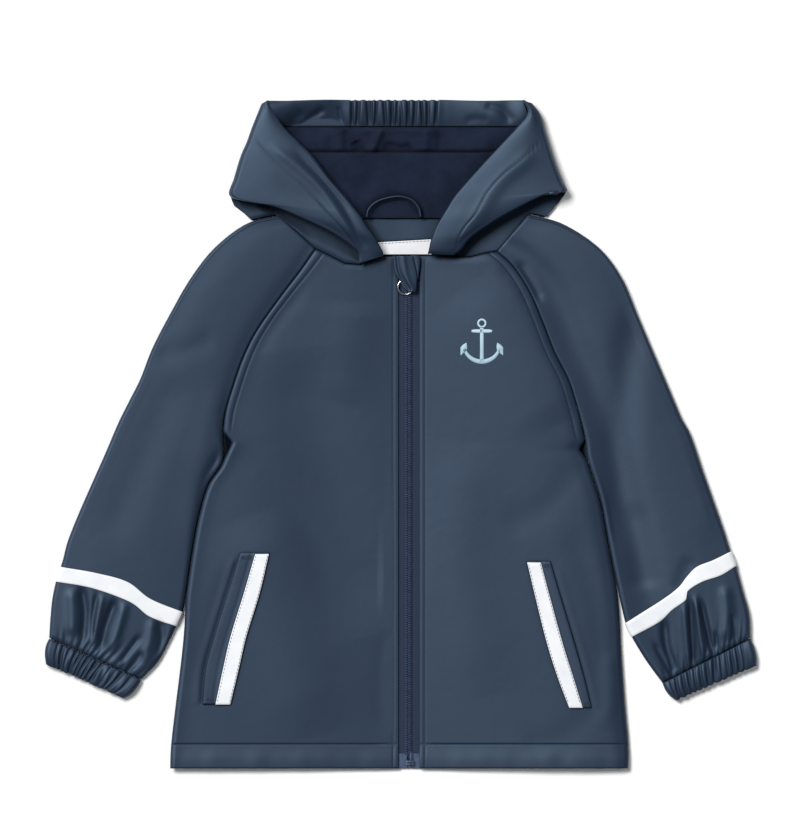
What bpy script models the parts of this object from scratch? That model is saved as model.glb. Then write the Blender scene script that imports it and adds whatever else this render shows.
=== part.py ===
"""A child's hooded raincoat of coated cloth, laid flat on its back with the hood opened out.

The coat lies front up on the plane z = 0. +X is the wearer's left, +Y points to the hood and
+Z is up. The origin is on the zip's line at half length, on the surface that the coat lies on.
Tables and sizes are in millimetres; meshes are in metres.
"""

import math
from collections import namedtuple

import bmesh
import bpy
import numpy as np
from mathutils import Vector
from mathutils.bvhtree import BVHTree

MM = 0.001

# Cloth and clearances
WALL = 1.5  # coated cloth
HOOD_WALL = 2.7  # coated cloth with its fleece backing, in the hood sides
FLEECE = 2.0  # hood lining
TAPE = 0.7  # reflective tape
WEBBING = 1.0  # zip tape and label
SEAM = 0.3  # between two pieces that are sewn or lie together
LAYER_1 = WALL + SEAM  # underside of what lies on the bottom layer

# Heights of the upper layer's outer face, and how far from an edge the full height is reached
PANEL_TOP = 6.5  # middle of the fronts
RAGLAN_TOP = 6.0  # along the raglan and neck seams
PRESSED_TOP = LAYER_1 + WALL  # where the upper layer lies pressed on the lower one
SLEEVE_TOP = 7.5
FRONT_EDGE_TOP = 4.6  # folded front edges beside the zip
HOOD_LAYER_1 = LAYER_1  # crown lining and casing
HOOD_LAYER_2 = HOOD_LAYER_1 + FLEECE + SEAM  # back lining
SEAM_REACH = 22.0
FRONT_EDGE_REACH = 24.0
HEM_REACH = 40.0
HEM_HEIGHT = 0.35  # share of the height left at the hem
FOLD_REACH = 14.0  # soft folds die out this close to an edge
COWL_LOW = 6.4  # underside of the hood side where it hangs over the neck seam

# Zip
FRONT_EDGE_X = 9.6  # folded front edges stand this far from the zip's line
ZIP_TAPE_X = 14.0
TOOTH_X = 3.0  # half width of the closed teeth
NECK_Y = 164.5  # top of the fronts at the zip
HEM_Y = -307.0

RIGHT, LEFT = "right", "left"  # the wearer's: left is +X

# Sleeve rows from the neck seam to the cuff seam: the front and the back inner edge (raglan seam,
# then underarm seam) and the outer fold.
SleeveRow = namedtuple("SleeveRow", "front_x front_y back_x back_y outer_x outer_y")
ARMPIT_ROW = 7
SLEEVES = {
    RIGHT: (
        (-86, 171, -62, 198, -120, 202),
        (-100, 151, -83, 170, -150, 194),
        (-119, 126, -106, 139, -179, 172),
        (-140, 96, -131, 105, -201, 144),
        (-153, 70, -149, 74, -220, 111),
        (-163, 41, -162, 43, -236, 80),
        (-169, 20, -169, 20, -247, 52),
        (-171, 3, -171, 3, -257, 32),
        (-171, -24, -171, -24, -267, 12),
        (-185, -47, -185, -47, -279, -16),
        (-194, -78, -194, -78, -291, -43),
        (-200.5, -115, -200.5, -115, -305, -75),
        (-205, -146, -205, -146, -314, -98),
        (-208, -162, -208, -162, -319, -117),
        (-214, -176, -214, -176, -324, -132),
        (-221, -191, -221, -191, -328, -150),
        (-231, -209, -231, -209, -330, -170),
        (-246, -225, -246, -225, -331, -187),
    ),
    LEFT: (
        (81, 169, 53, 198, 110, 203),
        (96, 155, 78, 170, 142, 194),
        (111, 132, 99, 142, 175, 172),
        (123, 104, 116, 110, 196, 144),
        (134, 76, 131, 79, 210, 111),
        (147, 50, 146, 51, 224, 78),
        (156, 21, 156, 21, 239, 43),
        (162, -5, 162, -5, 250, 17),
        (164.5, -24, 164.5, -24, 259, 0),
        (176, -60, 176, -60, 271, -35),
        (183, -97, 183, -97, 282, -66),
        (190, -133, 190, -133, 290, -89),
        (199, -173, 199, -173, 295, -105),
        (205, -186, 205, -186, 301, -121),
        (215, -203, 215, -203, 307, -143),
        (224, -216, 224, -216, 313, -165),
        (233, -228, 233, -228, 314, -187),
    ),
}
TAPE_ROWS = {RIGHT: (13, 14), LEFT: (12, 13)}  # rows under the sleeve tape's two edges

# Side seams below the armpit: x and y of each point.
SIDES = {
    RIGHT: ((-163, -7), (-171, -24), (-185, -47), (-194, -78), (-200.5, -115), (-205, -146),
            (-207, -180), (-210, -210), (-215, -250), (-219, -285), (-220, HEM_Y)),
    LEFT: ((160, -14), (164.5, -24), (176, -60), (183, -97), (190, -133), (193.5, -165),
           (195.5, -200), (199, -250), (202, -285), (202, HEM_Y)),
}

# Neck seam on the fronts: share of the way from the zip to the raglan seam, and y.
NECK_SEAM = {
    RIGHT: ((0, 164.5), (0.21, 164), (0.45, 156.5), (0.64, 157.5), (0.87, 166.5), (1, 171)),
    LEFT: ((0, 164.5), (0.12, 165), (0.42, 163.5), (0.65, 163.5), (0.84, 167), (1, 169)),
}

# Hood side above its outer fold, rows from the crown to the chin: rim of the hood's opening,
# outer fold, and the lowest and highest point of the folded cloth there.
WingRow = namedtuple("WingRow", "rim_x rim_y fold_x fold_y low high")
WINGS = {
    RIGHT: (
        (-131, 306, -135, 304.5, LAYER_1, 8.5),
        (-117, 286, -144, 284, LAYER_1, 11.5),
        (-103, 271, -149, 270, LAYER_1, 12.5),
        (-89, 257, -155, 256, LAYER_1, 13.5),
        (-73, 236, -161, 236, LAYER_1, 14.0),
        (-59, 220, -165, 220, 3.0, 14.5),
        (-51, 210, -146, 216, COWL_LOW, 15.0),
        (-44, 201, -126, 213, COWL_LOW, 15.0),
        (-38, 191, -103, 204, COWL_LOW, 15.0),
        (-32, 183, -80, 194, COWL_LOW, 14.0),
        (-28, 176, -62, 182, COWL_LOW, 13.0),
        (-24, 169, -48, 169, COWL_LOW, 12.0),
        (-24, 165.5, -52, 160, COWL_LOW, 10.5),
    ),
    LEFT: (
        (105, 306, 114, 305, LAYER_1, 8.5),
        (109, 295, 119, 294, LAYER_1, 10.0),
        (99, 283, 123, 283, LAYER_1, 11.5),
        (73, 255, 134, 255, LAYER_1, 13.5),
        (54, 234, 142, 234, LAYER_1, 14.0),
        (42, 220, 145, 224, 3.0, 14.5),
        (35, 209, 130, 223, COWL_LOW, 15.0),
        (29, 199, 103, 212, COWL_LOW, 15.0),
        (24, 190, 79, 198, COWL_LOW, 14.5),
        (20, 179, 57, 180, COWL_LOW, 13.0),
        (18, 170, 47, 170, COWL_LOW, 12.0),
        (17, 166.5, 41, 165.5, COWL_LOW, 10.5),
    ),
}
WING_ROLL = 5.0  # how far the outer fold's round edge reaches in
WING_UNDER = 7.0  # cloth that shows under the outer fold
WING_SEAM = ((-137, 267), (-94, 225), (-46, 169)), ((122, 268), (70, 215), (45, 172))

# Outline of the hood's underside beyond its centre panel, from the crown round to the neck.
HOOD_CENTRE_X = (-59, 26)
HOOD_TOP_Y = 308.0
HOOD_NECK_Y = 199.6
HOOD_UNDER = {
    RIGHT: ((-134, 305), (-146, 277), (-155, 255), (-161, 237), (-164, 221), (-160, 211),
            (-146, 198), (-121, 203.6)),
    LEFT: ((113, 305), (125, 279), (134, 253), (139, 237), (144, 225), (136, 212),
           (127, 201), (111, 204.6)),
}

# Lower hood, from the neck seam up behind the fold: where its hidden edge lies beyond the sleeve
# head and the front neck, and the two points where it runs out to the side.
HOOD_NECK_TUCK = {
    RIGHT: ((-46, 170), (-57, 189), (-75, 203), (-97, 213), (-121, 222), (-142, 219), (-157, 212)),
    LEFT: ((42, 172), (52, 186), (74, 203), (94, 214), (113, 222), (126, 221), (135, 212)),
}
HOOD_NECK_OUT = {RIGHT: ((-120.5, 202.6), (-133, 201.5), (-146, 198.4)),
                 LEFT: ((110.5, 203.6), (119, 203.2), (127, 201.6))}

# Linings: rows towards the crown, and how far each reaches to either side.
LiningRow = namedtuple("LiningRow", "y right_x left_x")
CROWN_LINING = ((248, -132, 112), (262, -134, 112), (274, -132, 110), (283, -127, 103))
BACK_LINING = ((200.5, -66, 50), (215, -80, 64), (230, -94, 76), (245, -106, 88),
               (256, -114, 97), (260, -116, 99))
BACK_LINING_SWELL = (0.0, 0.2, 0.4, 0.5, 0.4, -0.6)  # in the middle of each row

# Casing along the hood's front edge, with the elastic in its middle.
CASING_Y = (283.6, 308.0)
CASING_ENDS = {RIGHT: ((-130.3, 307.5), (-117.5, 283.6)), LEFT: ((104, 307.5), (109.5, 295), (101, 283.6))}
CASING_TOP = 6.0
CASING_GATHERS = 16
CASING_GATHERED_X = (-54, 27)
CASING_GATHER_HEIGHT = 1.1

# Cuffs: rows from the seam to the opening, inner and outer edge.
CuffRow = namedtuple("CuffRow", "inner_x inner_y outer_x outer_y")
CUFFS = {
    RIGHT: ((-246.5, -226, -331.5, -188), (-250, -232, -334, -194), (-255, -238, -335, -202),
            (-262, -242.5, -334, -211)),
    LEFT: ((233.3, -229, 314.5, -188), (236, -235, 317, -194), (240, -240, 319.5, -203),
           (246, -244.5, 320, -212)),
}
CUFF_TOP = 8.5
CUFF_WALL = 2.5
CUFF_GATHERS = 14
CUFF_GATHER_HEIGHT = 1.3

# Soft folds: a line, how wide it is and how far the cloth rises (or sinks) along it.
Fold = namedtuple("Fold", "x0 y0 x1 y1 width rise")
SLEEVE_FOLDS = {
    RIGHT: (
        (-185, 120, -200, 20, 20, 1.2),
        (-250, 0, -285, -70, 16, -0.9),
        (-303, -140, -302, -188, 6, -2.4),
        (-271, -150, -286, -198, 6, -2.4),
        (-250, -182, -266, -206, 5, -1.4),
        (-231, -172, -231, -195, 5, -1.2),
        (-288, -160, -292, -192, 6, 1.2),
        (-255, -160, -268, -196, 6, 1.2),
    ),
    LEFT: (
        (199, 124, 187, 14, 14, -1.2),
        (240, 20, 268, -60, 18, 1.2),
        (234, -172, 247, -222, 6, -1.8),
        (257, -155, 262, -214, 5, -2.4),
        (267, -154, 280, -203, 5, -2.4),
        (281, -180, 285, -200, 5, -1.4),
        (296, -168, 298, -190, 5, -1.4),
        (273, -160, 290, -196, 6, 1.2),
        (245, -172, 254, -212, 6, 1.2),
    ),
}
FRONT_FOLDS = {
    RIGHT: (
        (-84, 140, -148, 36, 10, -0.9),
        (-155, -12, -95, -60, 12, -0.8),
        (-60, 20, -60, -120, 30, -0.8),
        (-120, -60, -120, -230, 40, 0.8),
    ),
    LEFT: (
        (88, 145, 108, 112, 9, -1.0),
        (150, -20, 90, -70, 12, -0.8),
        (70, 100, 95, 10, 40, 1.2),
        (60, -150, 80, -260, 35, 0.6),
    ),
}

# Slanted pockets: y, then x of the tape's two edges and of the welt's free edge.
PocketRow = namedtuple("PocketRow", "y tape_in tape_out welt_edge")
POCKETS = {
    RIGHT: ((-108, -128, -141, -155), (-146, -137, -152, -167), (-185, -149, -164, -179),
            (-215, -156, -171, -187), (-248, -164, -178, -190)),
    LEFT: ((-116, 108, 121, 130), (-150, 116, 130, 140), (-190, 126, 141, 152),
           (-222, 136, 151, 161), (-251, 147, 160, 168)),
}

# Neck pieces and hanger
FACING_BOX = (-46, 176.5, 35, 198.8)
LABEL_BOX = (-30, 166, 21, 176.2)
LOOP_ROUTE = ((-39, 200.5), (-37, 208), (-28, 215.5), (-11, 219.5), (2, 216.5), (9, 209), (11, 200.5))
LOOP_TALL = 6.0

# Zip pull: a ring of wire and a folded strip of the coat's cloth
RING_CENTRE = (-3.2, 136.2)
RING_RADIUS = 6.9
RING_WIRE = 0.6
SLIDER_Y = (144.0, 157.0)
SLIDER_TOP = 7.4
PULL_OUTLINE = ((-14, 163.5), (4, 163.5), (7.4, 150), (7.4, 139), (4.6, 132.5), (2.4, 132.5),
                (-5.5, 141.7), (-10, 152))

MATERIALS = {  # linear colour, roughness, metallic
    "coated_cloth": ((0.045, 0.072, 0.110), 0.45, 0.0),
    "fleece": ((0.012, 0.022, 0.050), 0.95, 0.0),
    "reflective": ((0.82, 0.83, 0.86), 0.35, 0.0),
    "zip_cloth": ((0.020, 0.032, 0.055), 0.75, 0.0),
    "zip_teeth": ((0.024, 0.038, 0.062), 0.35, 0.0),
    "white_label": ((0.80, 0.80, 0.82), 0.70, 0.0),
    "bright_metal": ((0.75, 0.75, 0.76), 0.20, 1.0),
}


# ---------------------------------------------------------------- shared shape functions


def clear_scene():
    for obj in list(bpy.data.objects):
        bpy.data.objects.remove(obj, do_unlink=True)


def finish_of(name):
    """The Principled material of one finish, made once."""
    if name in bpy.data.materials:
        return bpy.data.materials[name]
    colour, roughness, metallic = MATERIALS[name]
    made = bpy.data.materials.new(name)
    made.use_nodes = True
    shader = made.node_tree.nodes["Principled BSDF"]
    shader.inputs["Base Color"].default_value = (*colour, 1.0)
    shader.inputs["Roughness"].default_value = roughness
    shader.inputs["Metallic"].default_value = metallic
    return made


def add_piece(name, points, faces, finish):
    """One closed mesh object from points in millimetres, its faces turned outwards."""
    mesh = bpy.data.meshes.new(name)
    mesh.from_pydata([tuple(np.array(p) * MM) for p in points], [], faces)
    work = bmesh.new()
    work.from_mesh(mesh)
    bmesh.ops.recalc_face_normals(work, faces=work.faces[:])
    if work.calc_volume(signed=True) < 0:
        bmesh.ops.reverse_faces(work, faces=work.faces[:])
    bmesh.ops.triangulate(work, faces=work.faces[:])
    work.to_mesh(mesh)
    work.free()
    mesh.shade_smooth()
    mesh.set_sharp_from_angle(angle=math.radians(40))
    piece = bpy.data.objects.new(name, mesh)
    piece.data.materials.append(finish_of(finish))
    bpy.context.scene.collection.objects.link(piece)
    return piece


def add_sheet(name, outer, inner, finish):
    """A sheet of cloth between two grids of points, closed along its four edges."""
    outer, inner = np.array(outer, float), np.array(inner, float)
    rows, columns = outer.shape[:2]
    half = rows * columns

    def at(row, column, side):
        return side * half + row * columns + column

    faces = []
    for r in range(rows - 1):
        for c in range(columns - 1):
            faces.append((at(r, c, 0), at(r, c + 1, 0), at(r + 1, c + 1, 0), at(r + 1, c, 0)))
            faces.append((at(r, c, 1), at(r + 1, c, 1), at(r + 1, c + 1, 1), at(r, c + 1, 1)))
    for c in range(columns - 1):
        for r in (0, rows - 1):
            faces.append((at(r, c, 0), at(r, c, 1), at(r, c + 1, 1), at(r, c + 1, 0)))
    for r in range(rows - 1):
        for c in (0, columns - 1):
            faces.append((at(r, c, 0), at(r + 1, c, 0), at(r + 1, c, 1), at(r, c, 1)))
    points = np.concatenate([outer.reshape(-1, 3), inner.reshape(-1, 3)])
    return add_piece(name, points, faces, finish)


def add_tube(name, outer, inner, finish):
    """A tube of cloth between two grids whose columns run all the way round."""
    outer, inner = np.array(outer, float), np.array(inner, float)
    rows, columns = outer.shape[:2]
    half = rows * columns

    def at(row, column, side):
        return side * half + row * columns + column % columns

    faces = []
    for c in range(columns):
        for r in range(rows - 1):
            for side in (0, 1):
                faces.append((at(r, c, side), at(r, c + 1, side), at(r + 1, c + 1, side), at(r + 1, c, side)))
        for r in (0, rows - 1):
            faces.append((at(r, c, 0), at(r, c + 1, 0), at(r, c + 1, 1), at(r, c, 1)))
    points = np.concatenate([outer.reshape(-1, 3), inner.reshape(-1, 3)])
    return add_piece(name, points, faces, finish)


def add_plate(name, outline, low, high, finish):
    """A flat plate over an outline, between two heights."""
    count = len(outline)
    points = [(x, y, z) for z in (low, high) for x, y in outline]
    faces = [tuple(range(count)), tuple(range(count, 2 * count))]
    for i in range(count):
        j = (i + 1) % count
        faces.append((i, j, count + j, count + i))
    return add_piece(name, points, faces, finish)


def smooth_rows(table, places, kind=None):
    """Rows read from a smooth curve through a table's rows, at places counted in rows."""
    table = np.array(table, float)
    padded = np.vstack([2 * table[0] - table[1], table, 2 * table[-1] - table[-2]])
    found = []
    for place in places:
        k = min(int(place), len(table) - 2)
        t = place - k
        a, b, c, d = padded[k : k + 4]
        found.append(
            0.5 * (2 * b + (c - a) * t + (2 * a - 5 * b + 4 * c - d) * t**2 + (3 * b - a - 3 * c + d) * t**3)
        )
    return [kind(*row) for row in found] if kind else np.array(found)


def ease(share):
    """0 to 1 with soft ends."""
    share = min(max(share, 0.0), 1.0)
    return share * share * (3 - 2 * share)


def fold_rise(x, y, folds):
    """Sum of the soft folds' heights at a place."""
    total = 0.0
    for fold in (Fold(*row) for row in folds):
        along = Vector((fold.x1 - fold.x0, fold.y1 - fold.y0))
        start = Vector((x - fold.x0, y - fold.y0))
        share = min(max(start.dot(along) / along.length_squared, 0.0), 1.0)
        total += fold.rise * math.exp(-(((start - along * share).length / fold.width) ** 2))
    return total


def wall_heights(top, rise, lowest=LAYER_1):
    """The outer and inner height of a wall: ridges thicken it outside, hollows sink it whole."""
    inner = max(top - WALL + min(rise, 0.0), lowest)
    return max(top + rise, inner + WALL), inner


def side_sign(side):
    return -1 if side == RIGHT else 1


# ---------------------------------------------------------------- sleeves


TOP_SHARES = tuple(i / 13 for i in range(14))
FOLD_ANGLES = (-60, -25, 10, 45)
UNDER_SHARES = (0.0, 0.5, 1.0)


def sleeve_places(side):
    """Where the sleeve's rows are read: closer along the raglan seam than below it."""
    last = len(SLEEVES[side]) - 1
    return [i / 2 for i in range(2 * ARMPIT_ROW)] + list(range(ARMPIT_ROW, last + 1))


def sleeve_grids(side):
    """Outer and inner grid of a sleeve, from its back seam under and round to its front seam."""
    sign = side_sign(side)
    outer, inner = [], []
    radius = SLEEVE_TOP / 2
    places = sleeve_places(side)
    for place, line in zip(places, smooth_rows(SLEEVES[side], places, SleeveRow)):
        front = np.array((line.front_x + sign * SEAM, line.front_y))
        back = np.array((line.back_x + sign * SEAM, line.back_y))
        fold = np.array((line.outer_x, line.outer_y))
        to_front, to_back = front - fold, back - fold
        wide = np.linalg.norm(to_front)
        to_front, to_back = to_front / wide, to_back / np.linalg.norm(to_back)
        pressed = ease((place - ARMPIT_ROW + 1.5) / 2.5)
        edge_top = RAGLAN_TOP + (PRESSED_TOP - RAGLAN_TOP) * pressed
        out_row, in_row = [], []
        for share in UNDER_SHARES:
            spot = back + (fold + to_back * radius - back) * share
            out_row.append((*spot, 0.0))
            in_row.append((*spot, WALL))
        for angle in FOLD_ANGLES:
            c, s = math.cos(math.radians(angle)), math.sin(math.radians(angle))
            heading = to_back + (to_front - to_back) * (angle + 90) / 180
            out_row.append((*(fold + heading * radius * (1 - c)), radius * (1 + s)))
            in_row.append((*(fold + heading * (radius - (radius - WALL) * c)), radius + (radius - WALL) * s))
        for share in TOP_SHARES:
            spot = fold + to_front * (radius + (wide - radius) * share)
            rise = ease((wide - radius) * (1 - share) / SEAM_REACH)
            top = edge_top + (SLEEVE_TOP - edge_top) * rise
            fade = ease(share * wide / FOLD_REACH) * ease((1 - share) * wide / FOLD_REACH + 0.2)
            high, low = wall_heights(top, fade * fold_rise(*spot, SLEEVE_FOLDS[side]))
            out_row.append((*spot, high))
            in_row.append((*spot, low))
        outer.append(out_row)
        inner.append(in_row)
    return np.array(outer), np.array(inner)


def tape_grids(side, outer):
    """The reflective tape's grids, from the sleeve's outer points moved out."""
    first, last = (sleeve_places(side).index(row) for row in TAPE_ROWS[side])
    start = len(UNDER_SHARES) + 1
    rows = outer[first : last + 1, start:]
    moved = []
    for gap in (SEAM + TAPE, SEAM):
        grid = rows.copy()
        for row, points in enumerate(rows):
            across = np.gradient(points, axis=0)
            along = rows[-1] - rows[0]
            normal = np.cross(across, along)
            normal /= np.linalg.norm(normal, axis=1)[:, None]
            normal *= np.sign(normal[-1, 2])
            grid[row] = points + normal * gap
        moved.append(grid)
    return moved


def make_sleeves():
    edges = {}
    for side in (RIGHT, LEFT):
        outer, inner = sleeve_grids(side)
        add_sheet(f"sleeve_{side}", outer, inner, "coated_cloth")
        add_sheet(f"sleeve_tape_{side}", *tape_grids(side, outer), "reflective")
        edges[side] = outer
    return edges


# ---------------------------------------------------------------- cuffs


def make_cuff(side):
    """An elasticated casing: a flattened tube, gathered above and smooth where it rests."""
    outer, inner = [], []
    steps = 4 * CUFF_GATHERS
    for number, line in enumerate(CuffRow(*row) for row in CUFFS[side]):
        start = np.array((line.inner_x, line.inner_y))
        end = np.array((line.outer_x, line.outer_y))
        wide = np.linalg.norm(end - start)
        along = (end - start) / wide
        top = (SLEEVE_TOP, CUFF_TOP, CUFF_TOP, SLEEVE_TOP)[number]
        radius = top / 2
        out_row, in_row = [], []
        for step in range(steps + 1):
            share = step / steps
            spot = start + along * (radius + (wide - 2 * radius) * share)
            phase = 2 * math.pi * (CUFF_GATHERS * share + 0.35 * math.sin(9 * share + number * 0.5))
            gather = CUFF_GATHER_HEIGHT * (0.5 - 0.5 * math.cos(phase)) * math.sin(math.pi * share) ** 0.3
            out_row.append((*spot, top + gather - CUFF_GATHER_HEIGHT / 2))
            in_row.append((*spot, top - CUFF_WALL))
        for base, heading in ((end, -along), (start, along)):
            for angle in (45, 0, -45):
                angle = angle if base is end else -angle
                c, s = math.cos(math.radians(angle)), math.sin(math.radians(angle))
                out_row.append((*(base + heading * radius * (1 - c)), radius * (1 + s)))
                reach = radius - CUFF_WALL
                in_row.append((*(base + heading * (radius - reach * c)), radius + reach * s))
            if base is end:
                for share in (0.0, 0.5, 1.0):
                    spot = end - along * (radius + (wide - 2 * radius) * share)
                    out_row.append((*spot, 0.0))
                    in_row.append((*spot, CUFF_WALL))
        outer.append(out_row)
        inner.append(in_row)
    add_tube(f"cuff_{side}", outer, inner, "coated_cloth")


# ---------------------------------------------------------------- body


FRONT_SHARES = (0.0, 0.06, 0.16, 0.27, 0.38, 0.5, 0.62, 0.74, 0.85, 0.94, 1.0)


def front_edge(side, sleeve):
    """Raglan seam, taken from the sleeve's own front edge, then the side seam."""
    raglan = sleeve[: 2 * ARMPIT_ROW + 1, -1, :2] - np.array((2 * side_sign(side) * SEAM, 0))
    return np.vstack([raglan, np.array(SIDES[side]) - np.array((side_sign(side) * SEAM, 0))])


def neck_y(side, share):
    shares, heights = zip(*NECK_SEAM[side])
    return float(np.interp(share, shares, heights))


def make_front(side, sleeve):
    """A front panel: it rises from the pressed side seam and hem to the zip's folded edge."""
    sign = side_sign(side)
    edge = front_edge(side, sleeve)
    top_y = edge[0][1]
    outer, inner = [], []
    for number, (ex, ey) in enumerate(edge):
        pressed = ease((number - 2 * ARMPIT_ROW + 3) / 5)
        edge_top = RAGLAN_TOP + (PRESSED_TOP - RAGLAN_TOP) * pressed
        near_neck = max(0.0, 1 - (top_y - ey) / 60)
        out_row, in_row = [], []
        for share in FRONT_SHARES:
            x = sign * FRONT_EDGE_X + (ex - sign * FRONT_EDGE_X) * share
            y = ey + (neck_y(side, share) - top_y) * near_neck
            off_seam, off_zip, off_hem = abs(ex - x), abs(x) - FRONT_EDGE_X, ey - HEM_Y
            top = edge_top + (PANEL_TOP - edge_top) * ease(off_seam / SEAM_REACH)
            top = FRONT_EDGE_TOP + (top - FRONT_EDGE_TOP) * ease(off_zip / FRONT_EDGE_REACH)
            share_left = HEM_HEIGHT + (1 - HEM_HEIGHT) * ease(off_hem / HEM_REACH)
            top = PRESSED_TOP + (top - PRESSED_TOP) * share_left
            fade = ease(off_seam / FOLD_REACH) * ease(off_zip / FOLD_REACH) * ease(off_hem / HEM_REACH)
            over_tape = abs(x) < ZIP_TAPE_X + FRONT_EDGE_REACH / 2
            lowest = LAYER_1 + WEBBING + SEAM if over_tape else LAYER_1
            rise = fade * fold_rise(x, y, FRONT_FOLDS[side])
            high, low = wall_heights(max(top, lowest + WALL), rise, lowest)
            out_row.append((x, y, high))
            in_row.append((x, y, low))
        outer.append(out_row)
        inner.append(in_row)
    panel = add_sheet(f"front_{side}", outer, inner, "coated_cloth")
    return panel, np.array(outer)


def make_back(sleeves):
    """The back panel: flat on the ground, its edges those of the sleeves and side seams."""
    outline = []
    for side in (RIGHT, LEFT):
        raglan = sleeves[side][: 2 * ARMPIT_ROW + 1, 0, :2] - np.array((2 * side_sign(side) * SEAM, 0))
        edge = [tuple(p) for p in raglan]
        edge += [(x - side_sign(side) * SEAM, y) for x, y in SIDES[side]]
        outline += edge if side == RIGHT else edge[::-1]
    outline.append((-5.0, 196.5))
    add_plate("back", outline, 0.0, WALL, "coated_cloth")


def top_of(piece):
    """A function giving the height of a piece's upper face at a place, in millimetres."""
    mesh = piece.data
    tree = BVHTree.FromPolygons([v.co for v in mesh.vertices], [tuple(p.vertices) for p in mesh.polygons])

    def height(x, y):
        hit = tree.ray_cast(Vector((x * MM, y * MM, 0.1)), Vector((0, 0, -1)))[0]
        return hit.z / MM

    return height


def strip_on(name, height, rows, gap, thick, finish):
    """A strip that lies on a panel: its rows of places, raised from the panel's own points."""
    low = [[(x, y, height(x, y) + gap) for x, y in row] for row in rows]
    high = [[(x, y, z + thick) for x, y, z in row] for row in low]
    add_sheet(name, high, low, finish)


def make_pocket(side, panel):
    height = top_of(panel)
    welt, tape = [], []
    for row in smooth_rows(POCKETS[side], [i / 4 for i in range(17)], PocketRow):
        wide, narrow = row.welt_edge - row.tape_in, row.tape_out - row.tape_in
        welt.append([(row.tape_in + wide * share, row.y) for share in (0, 0.25, 0.5, 0.75, 1)])
        tape.append([(row.tape_in + narrow * share, row.y) for share in (0.03, 0.5, 1)])
    strip_on(f"pocket_welt_{side}", height, welt, SEAM, WALL, "coated_cloth")
    strip_on(f"pocket_tape_{side}", height, tape, 2 * SEAM + WALL, TAPE, "reflective")


# ---------------------------------------------------------------- hood


def wing_seam_hollow(side, x, y):
    """The stitched casing line along the rim pulls the cloth down a little."""
    line = WING_SEAM[0 if side == RIGHT else 1]
    folds = [(*line[i], *line[i + 1], 4.5, -0.8) for i in range(len(line) - 1)]
    return max(fold_rise(x, y, folds), -0.9)


def make_wing(side):
    """The hood's side above its outer fold: rim, broad face, rounded fold and a turn under it."""
    places = [i / 2 for i in range(2 * len(WINGS[side]) - 1)]
    outer, inner = [], []
    for row in smooth_rows(WINGS[side], places, WingRow):
        rim, fold = np.array((row.rim_x, row.rim_y)), np.array((row.fold_x, row.fold_y))
        low, high = max(row.low, LAYER_1), row.high
        wide = np.linalg.norm(fold - rim)
        along = (fold - rim) / wide
        roll = min(WING_ROLL, 0.4 * wide)
        under = min(WING_UNDER, 0.3 * wide)
        fold_top = low + (high - low) * 0.85
        half = (fold_top - low) / 2
        out_row, in_row = [], []
        for share in (0.0, 0.04, 0.14, 0.26, 0.38, 0.54, 0.72, 0.88):
            spot = rim + along * (wide - roll) * share
            swell = high + (fold_top - high) * share + 0.6 * math.sin(math.pi * share)
            if share == 0.0:
                swell -= 0.8
            hollow = wing_seam_hollow(side, *spot) * ease(share * 6)
            wall = WALL + (HOOD_WALL - WALL) * ease((1 - share) * 3) * ease((high - 8.5) / 3)
            out_row.append((*spot, swell + hollow))
            in_row.append((*spot, swell + hollow - wall))
        for angle in (90, 45, 0, -45, -90):
            c, s = math.cos(math.radians(angle)), math.sin(math.radians(angle))
            out_row.append((*(fold - along * roll * (1 - c)), low + half * (1 + s)))
            reach, rise = max(roll - WALL, 0.3), half - WALL
            in_row.append((*(fold - along * (roll - reach * c)), low + half + rise * s))
        end = fold - along * (roll + under)
        out_row.append((*end, low))
        in_row.append((*end, low + WALL))
        outer.append(out_row)
        inner.append(in_row)
    add_sheet(f"hood_side_{side}", outer, inner, "coated_cloth")


def make_hood_underside():
    """The centre panel and the two side panels where they lie on the ground."""
    left, right = HOOD_CENTRE_X
    centre = ((left + SEAM, HOOD_NECK_Y), (right - SEAM, HOOD_NECK_Y), (right - SEAM, HOOD_TOP_Y),
              (left + SEAM, HOOD_TOP_Y))
    add_plate("hood_centre", centre, 0.0, WALL, "coated_cloth")
    for side, seam_x in ((RIGHT, left), (LEFT, right)):
        x = seam_x + side_sign(side) * SEAM
        outline = [(x, HOOD_NECK_Y), (x, HOOD_TOP_Y), *HOOD_UNDER[side]]
        add_plate(f"hood_under_{side}", outline, 0.0, WALL, "coated_cloth")


def make_hood_neck(side, front, sleeve):
    """The lower hood, from the neck seam up behind the outer fold."""
    seam = [tuple(p) for p in front[0] if abs(p[0]) > 45]
    head = sleeve[0, len(UNDER_SHARES) + len(FOLD_ANGLES) :][::-1]
    seam += [tuple(p) for p in head[2:]]
    seam += [(x, y, PRESSED_TOP) for x, y in HOOD_NECK_OUT[side]]
    shares = np.linspace(0, len(HOOD_NECK_TUCK[side]) - 1, len(seam))
    tucks = smooth_rows(HOOD_NECK_TUCK[side], shares)
    outer, inner = [], []
    for number, ((x, y, z), (tuck_x, tuck_y)) in enumerate(zip(seam, tucks)):
        out_row, in_row = [], []
        z = min(z, RAGLAN_TOP) - 0.2
        clear = SEAM * (2 + 3 * number / len(seam))
        for share in (0.0, 0.2, 0.45, 0.7, 1.0):
            spot_x = x + (tuck_x - x) * share
            spot_y = y + clear + (tuck_y - y - clear) * share
            top = z + (LAYER_1 + WALL + 0.8 - z) * ease(share * 1.2)
            top += 0.5 * math.sin(math.pi * min(share * 1.6, 1.0)) * (z - PRESSED_TOP) / 3
            top = min(top, COWL_LOW - SEAM)
            out_row.append((spot_x, spot_y, top))
            in_row.append((spot_x, spot_y, max(top - WALL, LAYER_1)))
        outer.append(out_row)
        inner.append(in_row)
    add_sheet(f"hood_neck_{side}", outer, inner, "coated_cloth")


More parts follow.
